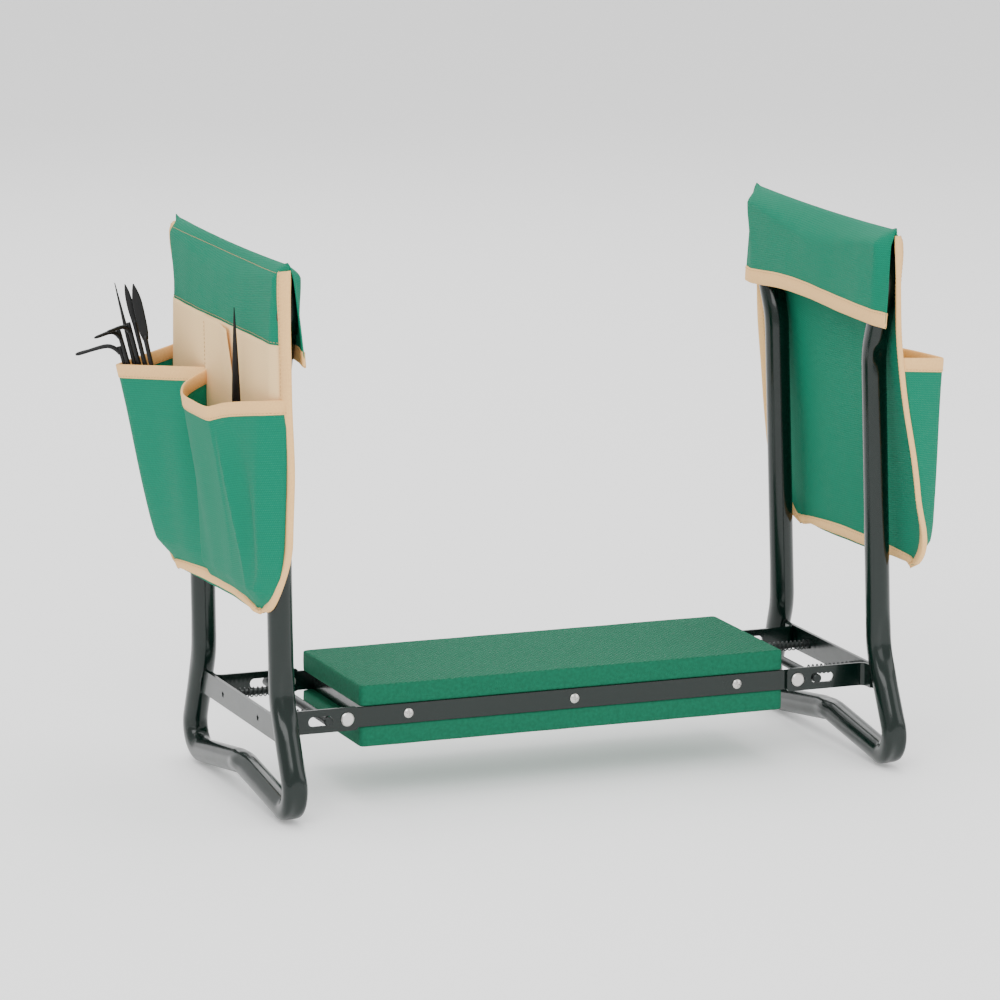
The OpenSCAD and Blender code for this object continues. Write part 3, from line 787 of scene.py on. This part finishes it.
def slip_pockets(side):
    for layer, flat in (("back", (0.282, 0.164)), ("front", (0.085, 0.168))):
        grid = leg_place(side, slip_grid(side, layer == "front"))
        made = cloth(f"{side}_khaki_{layer}_layer", grid, KHAKI_MM, "Khaki pocket cloth")
        attach(made, f"{side}_leg", "khaki_cloth", *([f"{side}_slip_pocket"] if layer == "back" else []))


def tool_pockets(side):
    grid = pocket_grid(side)
    thick = bpy.context.scene.kneeler_sizes.cloth_mm
    made = cloth(f"{side}_tool_pockets", leg_place(side, grid), thick, "Green pouch cloth")
    attach(made, f"{side}_leg", "pouch_cloth", f"{side}_deep_pocket", f"{side}_wide_pocket")
    fold_flat(made, side)


def fold_flat(made, side):
    """Gives the right leg's pieces their own copy of their mesh."""
    if side == "right":
        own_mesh(made)


def stitch_row(name, rows, long=2.5, thick=0.55):
    """Stitches grown with geometry nodes along rows of (path in metres, way out of the cloth)."""
    points, edges, out = [], [], []
    for path, normal in rows:
        start = len(points)
        points += [tuple(p) for p in path]
        out += [tuple(n) for n in unit(normal)]
        edges += [(start + k, start + k + 1) for k in range(len(path) - 1)]
    mesh = bpy.data.meshes.new(name)
    mesh.from_pydata(points, edges, [])
    ways = mesh.attributes.new("out", "FLOAT_VECTOR", "POINT")
    ways.data.foreach_set("vector", np.array(out, np.float32).ravel())
    guide = bpy.data.objects.new(name, mesh)
    bpy.context.scene.collection.objects.link(guide)
    pitch = bpy.context.scene.kneeler_sizes.stitch_mm
    values = {"Pitch": pitch / 1000, "Length": long / 1000, "Thickness": thick / 1000}
    return grown(name, guide, stitch_nodes(), values, "Tan sewing thread")


def group_with(name, floats):
    """A geometry node group with a geometry input, float inputs and a material input."""
    tree = bpy.data.node_groups.new(name, "GeometryNodeTree")
    face = tree.interface
    face.new_socket("Geometry", in_out="INPUT", socket_type="NodeSocketGeometry")
    for label, value in floats:
        face.new_socket(label, in_out="INPUT", socket_type="NodeSocketFloat").default_value = value
    face.new_socket("Material", in_out="INPUT", socket_type="NodeSocketMaterial")
    face.new_socket("Geometry", in_out="OUTPUT", socket_type="NodeSocketGeometry")
    return tree, add_node(tree, "NodeGroupInput").outputs, add_node(tree, "NodeGroupOutput")


def finish_group(tree, geometry, given, out):
    """Ends a node group: instances made real, and the material set."""
    real = add_node(tree, "GeometryNodeRealizeInstances", at_in0=geometry)
    painted = add_node(tree, "GeometryNodeSetMaterial", at_in0=real.outputs[0])
    tree.links.new(given["Material"], painted.inputs["Material"])
    tree.links.new(painted.outputs[0], out.inputs[0])
    return tree


def stitch_nodes():
    """The node group that lays long beads of thread along a line at an even pitch."""
    if "Stitch row" in bpy.data.node_groups:
        return bpy.data.node_groups["Stitch row"]
    sizes = [("Pitch", 0.0036), ("Length", 0.0025), ("Thickness", 0.0005)]
    tree, given, out = group_with("Stitch row", sizes)
    line = add_node(tree, "GeometryNodeMeshToCurve", at_in0=given["Geometry"])
    even = add_node(tree, "GeometryNodeResampleCurve", at_in0=line.outputs[0])
    even.mode = "LENGTH"
    tree.links.new(given["Pitch"], even.inputs["Length"])
    ball = add_node(tree, "GeometryNodeMeshUVSphere")
    ball.inputs["Segments"].default_value = 8
    ball.inputs["Rings"].default_value = 6
    ball.inputs["Radius"].default_value = 0.5
    thick = given["Thickness"]
    size = add_node(tree, "ShaderNodeCombineXYZ", at_in0=thick, at_in1=thick, at_in2=given["Length"])
    shape = add_node(tree, "GeometryNodeTransform", at_in0=ball.outputs["Mesh"])
    tree.links.new(size.outputs[0], shape.inputs["Scale"])
    tangent = add_node(tree, "GeometryNodeInputTangent")
    facing = add_node(tree, "GeometryNodeInputNamedAttribute", data_type="FLOAT_VECTOR")
    facing.inputs["Name"].default_value = "out"
    turned = add_node(tree, "FunctionNodeAxesToRotation", primary_axis="Z", secondary_axis="X")
    tree.links.new(tangent.outputs[0], turned.inputs["Primary Axis"])
    tree.links.new(facing.outputs["Attribute"], turned.inputs["Secondary Axis"])
    placed = add_node(tree, "GeometryNodeInstanceOnPoints", at_in0=even.outputs[0])
    tree.links.new(shape.outputs[0], placed.inputs["Instance"])
    tree.links.new(turned.outputs[0], placed.inputs["Rotation"])
    return finish_group(tree, placed.outputs[0], given, out)


def grown(name, guide, tree, values, material):
    """The mesh that a geometry node group grows on a guide object, which is removed."""
    live = guide.modifiers.new("Grown", "NODES")
    live.node_group = tree
    for item in tree.interface.items_tree:
        if item.in_out == "INPUT" and item.name in values:
            live[item.identifier] = values[item.name]
        if item.in_out == "INPUT" and item.name == "Material":
            live[item.identifier] = finishes()[material]
    bpy.context.view_layer.update()
    shown = guide.evaluated_get(bpy.context.evaluated_depsgraph_get())
    mesh = bpy.data.meshes.new_from_object(shown)
    mesh.name = name
    if not mesh.polygons:
        raise RuntimeError(f"{name} grew nothing")
    if "cloth_mm" not in mesh.uv_layers:
        mesh.uv_layers.new(name="cloth_mm")
    mesh.shade_smooth()
    bpy.data.objects.remove(guide)
    made = bpy.data.objects.new(name, mesh)
    bpy.context.scene.collection.objects.link(made)
    return made


def lay_tape(label, side, line, into, facing, wide, half):
    """One run of tape folded over an edge, and the rows of stitches on both its faces."""
    flat = leg_place(side, line)
    way = leg_place(side, line + into) - flat
    face = leg_place(side, line + facing) - flat
    half = np.full(len(line), half)
    piece = edge_tape(f"{side}_{label}", flat, way, face, wide, half)
    rows = []
    for sign in (1, -1):
        shown = line + into * (wide - 1.6) + facing * (half[:, None] + 0.5) * sign
        rows.append((leg_place(side, shown), face * sign))
    return piece, rows


def edge_bindings(side):
    """Tape round the panel and on the flap's hem, with its stitches."""
    width = bpy.context.scene.kneeler_sizes.tape_mm
    panel, flap = panel_grid(side), flap_grid(side)
    start = 2
    edge = np.concatenate([panel[start:, 0], panel[-1, 1:-1], panel[start:, -1][::-1]])
    inner = np.concatenate([panel[start:, 3], panel[-4, 1:-1], panel[start:, -4][::-1]])
    normal = grid_normals(panel)
    out = np.concatenate([normal[start:, 0], normal[-1, 1:-1], normal[start:, -1][::-1]])
    out = out * np.sign(out[:, :1])
    round_panel, rows = lay_tape(
        "panel_tape", side, edge + out * 0.9, unit(inner - edge), out, width * 0.85, 2.0
    )
    hem, above = flap[0], flap[3]
    facing = grid_normals(flap)[0]
    facing = facing * np.sign(facing[:, :1])
    on_hem, more = lay_tape("flap_tape", side, hem, unit(above - hem), facing, width + 1.5, 0.75)
    tapes = join(f"{side}_edge_tapes", [round_panel, on_hem])
    attach(tapes, f"{side}_leg", "binding_tape", f"{side}_pouch_binding", f"{side}_flap_binding")
    attach(stitch_row(f"{side}_edge_stitches", rows + more), f"{side}_leg", "binding_tape")


def rim_bindings(side):
    """Tape on the rim of both pockets, with its stitches."""
    width = bpy.context.scene.kneeler_sizes.tape_mm
    pocket = pocket_grid(side)
    rim, below = pocket[0], pocket[3]
    facing = grid_normals(pocket)[0]
    facing = facing * np.sign(facing[:, :1] + 1e-9)
    tape, rows = lay_tape("rim_tape", side, rim, unit(below - rim), facing, width, 0.75)
    attach(tape, f"{side}_leg", "binding_tape", f"{side}_pocket_binding")
    stitches = stitch_row(f"{side}_rim_stitches", rows)
    attach(stitches, f"{side}_leg", "binding_tape")
    for made in (tape, stitches):
        fold_flat(made, side)


def panel_stitches(side):
    """The divider's seam, the seam under the top edge and the one above the khaki layer."""
    z = np.linspace(412, 300, 30)[:, None]
    y = np.full_like(z, SPLIT_Y + 1.5)
    divider = np.concatenate([panel_u(side, y, z) + 3.6, y, z], -1)
    y = columns()[3:-3]
    lines = [divider]
    for z, lift in ((seam_z(y) - 7, 0.75), (0 * y + KHAKI_TOP_Z + 2, 0.8)):
        lines.append(np.stack([panel_u(side, y, z) + lift, y, z], -1))
    rows = []
    for line in lines:
        path = leg_place(side, line)
        rows.append((path, leg_place(side, line + [1, 0, 0]) - path))
    attach(stitch_row(f"{side}_panel_stitches", rows), f"{side}_leg", "binding_tape")


# ---------------------------------------------------------------- springs


def coil_nodes():
    """The node group that winds a coil spring along X from each point of its guide."""
    tree, given, out = group_with(
        "Coil spring", [("Turns", 10), ("Radius", 0.0041), ("Wire", 0.0006), ("Length", 0.042)]
    )
    coil = add_node(tree, "GeometryNodeCurveSpiral")
    coil.inputs["Resolution"].default_value = 28
    tree.links.new(given["Turns"], coil.inputs["Rotations"])
    tree.links.new(given["Radius"], coil.inputs["Start Radius"])
    tree.links.new(given["Radius"], coil.inputs["End Radius"])
    tree.links.new(given["Length"], coil.inputs["Height"])
    ring = add_node(tree, "GeometryNodeCurvePrimitiveCircle")
    ring.inputs["Resolution"].default_value = 10
    tree.links.new(given["Wire"], ring.inputs["Radius"])
    wire = add_node(tree, "GeometryNodeCurveToMesh", at_in0=coil.outputs[0], at_in1=ring.outputs[0])
    wire.inputs["Fill Caps"].default_value = True
    laid = add_node(tree, "GeometryNodeTransform", at_in0=wire.outputs[0])
    laid.inputs["Rotation"].default_value = (0, math.pi / 2, 0)
    placed = add_node(tree, "GeometryNodeInstanceOnPoints", at_in0=given["Geometry"])
    tree.links.new(laid.outputs[0], placed.inputs["Instance"])
    return finish_group(tree, placed.outputs[0], given, out)


def coil_springs(side):
    """Both springs of a lock, wound to the length of the CAD springs."""
    low, high = (np.array(v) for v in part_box(f"{side}_springs"))
    wire_m, pivot_m = 0.0006, PIVOT_Z / 1000
    mesh = bpy.data.meshes.new(f"{side}_coil_springs")
    starts = [(low[0] + wire_m, y * SPRING_Y / 1000, pivot_m) for y in (-1, 1)]
    mesh.from_pydata(starts, [], [])
    guide = bpy.data.objects.new(f"{side}_coil_springs", mesh)
    bpy.context.scene.collection.objects.link(guide)
    tree = bpy.data.node_groups.get("Coil spring") or coil_nodes()
    values = {"Turns": 10.0, "Length": high[0] - low[0] - 2 * wire_m}
    made = grown(f"{side}_coil_springs", guide, tree, values, "Black oxide steel")
    attach(made, f"{side}_leg", "dark_steel", f"{side}_springs")
    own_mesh(made)


# ---------------------------------------------------------------- hand tools

# The lower end of every rod; points of a rod are its reach out, height, width and thickness
ROD_FOOT = [(0, -1.5, 3.0, 3.0), (0, 0, 4.1, 4.1)]
# Each tool's foot and the point it aims at in the leg's frame, its turn about itself in degrees,
# and the rest of its rod
TOOLS = {
    "point_tweezer": ((26.83, -98.67, 220), (52.3, -126.7, 367), 0, [
        (0, 106, 4.1, 4.1), (0, 171.5, 4.2, 3.9), (0, 190, 3.6, 2.8), (0, 208, 2.4, 1.7),
        (0, 221, 0.8, 0.8),
    ]),
    "leaf_tweezer": ((17.5, -83.7, 206), (45.9, -115.9, 367), 73, [
        (0, 186, 4.1, 4.1), (0, 200, 4.4, 2.6), (0, 212, 5.9, 1.6), (0, 222, 5.6, 1.2),
        (0, 230, 3.8, 1.0), (0, 236, 0.9, 0.8),
    ]),
    "planting_blade": ((18, -78, 206), (43.6, -104, 367), 75, [
        (0, 174, 4.1, 4.1), (0, 186, 5.4, 2.6), (0, 196, 8.2, 1.4), (0, 219, 8.4, 1.2),
        (0, 229, 5.2, 1.0), (0, 236, 1.1, 0.8),
    ]),
    "small_hook": ((17.8, -98.3, 206), (50.1, -120.7, 367), 24, [
        (0, 186, 4.1, 4.1), (0.5, 190.5, 4.1, 4.1), (2.4, 194.8, 4.1, 4.0), (5.8, 197.4, 4.1, 3.9),
        (10, 198.2, 3.9, 3.6), (18, 198.2, 3.4, 3.0), (24, 198.2, 3.0, 2.6), (26, 198.2, 1.4, 1.2),
    ]),
    "middle_hook": ((21.1, -105.1, 206), (58, -127.7, 367), 24, [
        (0, 181, 4.1, 4.1), (0.6, 186, 4.1, 4.1), (2.8, 190.6, 4.1, 4.0), (6.8, 193.8, 4.1, 3.9),
        (12, 194.8, 4.0, 3.6), (20, 194.8, 4.4, 3.1), (26, 194.8, 3.6, 2.6), (28.4, 194.8, 1.6, 1.2),
    ]),
    "paddle_hook": ((21.4, -110.9, 206), (60.2, -131.6, 367), -17, [
        (0, 166, 4.1, 4.1), (0.7, 171.4, 4.1, 4.1), (3.2, 176.6, 4.1, 4.1), (8, 181, 4.1, 4.0),
        (14.5, 182.4, 3.9, 3.8), (26, 182.4, 4.2, 3.2), (31, 182.4, 5.4, 3.4),
        (36.4, 182.4, 5.4, 3.2), (39, 182.4, 2.6, 1.8),
    ]),
    "dibber_spike": ((19, 57, 224), (23, 67.2, 367), 80, [
        (0, 112, 4.1, 4.1), (0, 124, 5.0, 3.4), (0, 134, 7.2, 2.4), (0, 144, 7.2, 2.0),
        (0, 172, 5.2, 1.8), (0, 197, 3.0, 1.5), (0, 212, 1.5, 1.1), (0, 219, 0.7, 0.7),
    ]),
}


def turn_about(axis, angle):
    """The matrix of a turn about the Y or the Z axis."""
    c, s = math.cos(angle), math.sin(angle)
    if axis == "z":
        return np.array([[c, -s, 0], [s, c, 0], [0, 0, 1]])
    return np.array([[c, 0, s], [0, 1, 0], [-s, 0, c]])


def hand_tool(name):
    """A drawn steel rod, bent and hammered flat at its working end."""
    foot, aim, turn, path = TOOLS[name]
    way = np.array(aim, float) - foot
    tilt = math.atan2(math.hypot(way[0], way[1]), way[2])
    heading = math.atan2(way[1], way[0])
    basis = turn_about("z", heading) @ turn_about("y", tilt)
    basis = basis @ turn_about("z", math.radians(turn) - heading)
    dense = curve_through([*ROD_FOOT, *path], 2.2)
    line, wide, thick = dense[:, :2], np.maximum(dense[:, 2], 0.4), np.maximum(dense[:, 3], 0.4)
    ahead = unit(np.gradient(line, axis=0))
    side_way = np.stack([-ahead[:, 1], ahead[:, 0]], -1)
    ring = np.linspace(0, 2 * math.pi, 20, endpoint=False)
    power = 1 - 0.35 * np.clip(wide / thick - 1, 0, 1)[:, None]
    across = np.sign(np.cos(ring)) * np.abs(np.cos(ring)) ** power * wide[:, None] / 2
    deep = np.sign(np.sin(ring)) * np.abs(np.sin(ring)) ** power * thick[:, None] / 2
    out = line[:, 0, None] + side_way[:, 0, None] * deep
    up = line[:, 1, None] + side_way[:, 1, None] * deep
    middle = np.stack([line[:, 0], 0 * line[:, 0], line[:, 1]], -1)
    placed = leg_place("left", np.array(foot) + np.stack([out, across, up], -1) @ basis.T)
    middle_m = leg_place("left", np.array(foot) + middle @ basis.T)
    made = sweep(f"forged_{name}", middle_m, placed - middle_m[:, None], "Blackened tool steel")
    bodies = frame["record"]["behaviour"]["bodies"]
    body = next(body for body, nodes in bodies.items() if name in nodes)
    attach(made, body, "tool_black", name)


# ---------------------------------------------------------------- operators


SLOT_FINISHES = {
    "frame_enamel": "Gloss green enamel",
    "foam": "Closed-cell green foam",
    "board": "Sawn pine board",
    "bright_steel": "Zinc plated steel",
    "dark_steel": "Black oxide steel",
    "pouch_cloth": "Green pouch cloth",
    "khaki_cloth": "Khaki pocket cloth",
    "binding_tape": "Tan binding tape",
    "tool_black": "Blackened tool steel",
}


class KNEELER_OT_frame_finishes(bpy.types.Operator):
    """Give every CAD part the finish of its slot"""

    bl_idname = "kneeler.frame_finishes"
    bl_label = "Frame Finishes"

    def execute(self, context):
        for part in frame["record"]["subparts"]:
            shown = frame["nodes"][part["node"]]
            shown.data.materials.clear()
            shown.data.materials.append(finishes()[SLOT_FINISHES[part["material_slot"]]])
        return {"FINISHED"}


class KNEELER_OT_tube_loops(bpy.types.Operator):
    """Bend both tube loops, with their dents, and weld the crossbars to them"""

    bl_idname = "kneeler.tube_loops"
    bl_label = "Tube Loops"

    def execute(self, context):
        for side in SIDES:
            tube_loop(side)
            beads = join(f"{side}_weld_beads", [weld_bead(side, -1, 1), weld_bead(side, 1, 2)])
            attach(beads, f"{side}_leg", "frame_enamel")
        return {"FINISHED"}


class KNEELER_OT_foam_pads(bpy.types.Operator):
    """Cut the two foam pads"""

    bl_idname = "kneeler.foam_pads"
    bl_label = "Foam Pads"

    def execute(self, context):
        foam_pad("upper_foam_pad", "top_pad")
        foam_pad("lower_foam_pad", "bottom_pad")
        return {"FINISHED"}


class KNEELER_OT_lock_springs(bpy.types.Operator):
    """Wind the coil springs behind each lock rod"""

    bl_idname = "kneeler.lock_springs"
    bl_label = "Lock Springs"

    def execute(self, context):
        for side in SIDES:
            coil_springs(side)
        return {"FINISHED"}


class KNEELER_OT_pouch_covers(bpy.types.Operator):
    """Hang a pouch cover over each loop"""

    bl_idname = "kneeler.pouch_covers"
    bl_label = "Pouch Covers"

    def execute(self, context):
        for side in SIDES:
            pouch_cover(side)
        return {"FINISHED"}


class KNEELER_OT_pockets(bpy.types.Operator):
    """Sew the khaki slip pockets and the tool pockets on"""

    bl_idname = "kneeler.pockets"
    bl_label = "Pockets"

    def execute(self, context):
        for side in SIDES:
            slip_pockets(side)
            tool_pockets(side)
        return {"FINISHED"}


class KNEELER_OT_bindings(bpy.types.Operator):
    """Fold the binding tape over every cloth edge and stitch it"""

    bl_idname = "kneeler.bindings"
    bl_label = "Binding Tape"

    def execute(self, context):
        for side in SIDES:
            edge_bindings(side)
            rim_bindings(side)
            panel_stitches(side)
        return {"FINISHED"}


class KNEELER_OT_hand_tools(bpy.types.Operator):
    """Forge the seven small hand tools"""

    bl_idname = "kneeler.hand_tools"
    bl_label = "Hand Tools"

    def execute(self, context):
        for name in TOOLS:
            hand_tool(name)
        return {"FINISHED"}


class KNEELER_OT_stage(bpy.types.Operator):
    """Set up the pale floor, the soft lights and the camera"""

    bl_idname = "kneeler.stage"
    bl_label = "Stage"

    def execute(self, context):
        floor_sheet()
        soft_light("Key light", (-1.6, -2.6, 2.9), (0.05, 0, 0.2), 2.4, 80)
        soft_light("Fill light", (2.9, -2.2, 1.6), (0, 0, 0.25), 2.2, 30)
        soft_light("Top light", (0.1, 0.4, 3.4), (0, 0, 0.1), 3.0, 60)
        soft_light("Back light", (0.6, 3.0, 2.2), (0, 0, 0.3), 2.2, 26)
        world = bpy.data.worlds.new("Soft white room")
        world.use_nodes = True
        world.node_tree.nodes["Background"].inputs[0].default_value = (1, 1, 1, 1)
        world.node_tree.nodes["Background"].inputs[1].default_value = 1.05
        context.scene.world = world
        target_m = ((SEAT_X - 41) / 1000, 0, 0.24305)
        context.scene.camera = aimed_camera(target_m, 4.9427, (-21.43, 11.36, 0.17), 201.9)
        return {"FINISHED"}


def aimed_camera(target_m, distance_m, angles, lens):
    """A camera that looks at a target; angles are azimuth, elevation and roll, in degrees."""
    azimuth, elevation, roll = (math.radians(a) for a in angles)
    level = math.cos(elevation)
    back = Vector((math.sin(azimuth) * level, -math.cos(azimuth) * level, math.sin(elevation)))
    data = bpy.data.cameras.new("Camera")
    data.lens = lens
    data.clip_start, data.clip_end = 0.1, 60
    camera = bpy.data.objects.new("Camera", data)
    camera.rotation_mode = "QUATERNION"
    camera.location = Vector(target_m) + back * distance_m
    camera.rotation_quaternion = Quaternion(back, roll) @ (-back).to_track_quat("-Z", "Y")
    bpy.context.scene.collection.objects.link(camera)
    return camera


def floor_sheet():
    """A pale floor, in metres, that curves up into a backdrop far behind the object."""
    paper, half_width_m, front_m, behind_m, bend_m, top_m = (0.93, 0.93, 0.93), 14, -12, 9, 4, 14
    made, tree, shader, where = surface("Matt studio paper", paper, 0.85)
    shade_with(tree, shader, noise(tree, where, 400), paper, 0.99, 1.01)
    bump_with(tree, shader, noise(tree, where, 2), 0.02, 0.1)
    shader.inputs["Emission Color"].default_value = (1, 1, 1, 1)
    shader.inputs["Emission Strength"].default_value = 0.24
    profile = [(front_m, 0)]
    for a in np.linspace(0, math.pi / 2, 30):
        profile.append((behind_m + bend_m * math.sin(a), bend_m - bend_m * math.cos(a)))
    profile.append((behind_m + bend_m, top_m))
    points = [(x, y, z) for y, z in profile for x in (-half_width_m, half_width_m)]
    faces = [(2 * i, 2 * i + 1, 2 * i + 3, 2 * i + 2) for i in range(len(profile) - 1)]
    mesh = bpy.data.meshes.new("Studio floor")
    mesh.from_pydata(points, [], faces)
    mesh.materials.append(made)
    mesh.shade_smooth()
    floor = bpy.data.objects.new("Studio_floor", mesh)
    bpy.context.scene.collection.objects.link(floor)


def soft_light(name, place, aim, size, power):
    """A square area light; place, aim and size are in metres and power in watts."""
    data = bpy.data.lights.new(name, "AREA")
    data.shape = "SQUARE"
    data.size = size
    data.energy = power
    made = bpy.data.objects.new(name, data)
    made.location = place
    made.rotation_mode = "QUATERNION"
    made.rotation_quaternion = (Vector(aim) - Vector(place)).to_track_quat("-Z", "Y")
    bpy.context.scene.collection.objects.link(made)


OPERATORS = (
    KNEELER_OT_frame_finishes,
    KNEELER_OT_tube_loops,
    KNEELER_OT_foam_pads,
    KNEELER_OT_lock_springs,
    KNEELER_OT_pouch_covers,
    KNEELER_OT_pockets,
    KNEELER_OT_bindings,
    KNEELER_OT_hand_tools,
    KNEELER_OT_stage,
)


class KNEELER_PT_panel(bpy.types.Panel):
    """Builds the kneeler piece by piece"""

    bl_idname = "KNEELER_PT_panel"
    bl_label = "Garden Kneeler Seat"
    bl_space_type = "VIEW_3D"
    bl_region_type = "UI"
    bl_category = "Kneeler"

    def draw(self, context):
        layout = self.layout
        for group in (context.scene.kneeler_colours, context.scene.kneeler_sizes):
            for name in group.bl_rna.properties.keys():
                if name not in ("rna_type", "name"):
                    layout.prop(group, name)
        for operator in OPERATORS:
            layout.operator(operator.bl_idname)


CLASSES = (KneelerColours, KneelerSizes, *OPERATORS, KNEELER_PT_panel)


def register():
    for cls in CLASSES:
        bpy.utils.register_class(cls)
    bpy.types.Scene.kneeler_colours = bpy.props.PointerProperty(type=KneelerColours)
    bpy.types.Scene.kneeler_sizes = bpy.props.PointerProperty(type=KneelerSizes)


def unregister():
    del bpy.types.Scene.kneeler_sizes
    del bpy.types.Scene.kneeler_colours
    for cls in reversed(CLASSES):
        bpy.utils.unregister_class(cls)


def main():
    register()
    for operator in OPERATORS:
        group, name = operator.bl_idname.split(".")
        getattr(getattr(bpy.ops, group), name)()


if __name__ == "__main__":
    main()
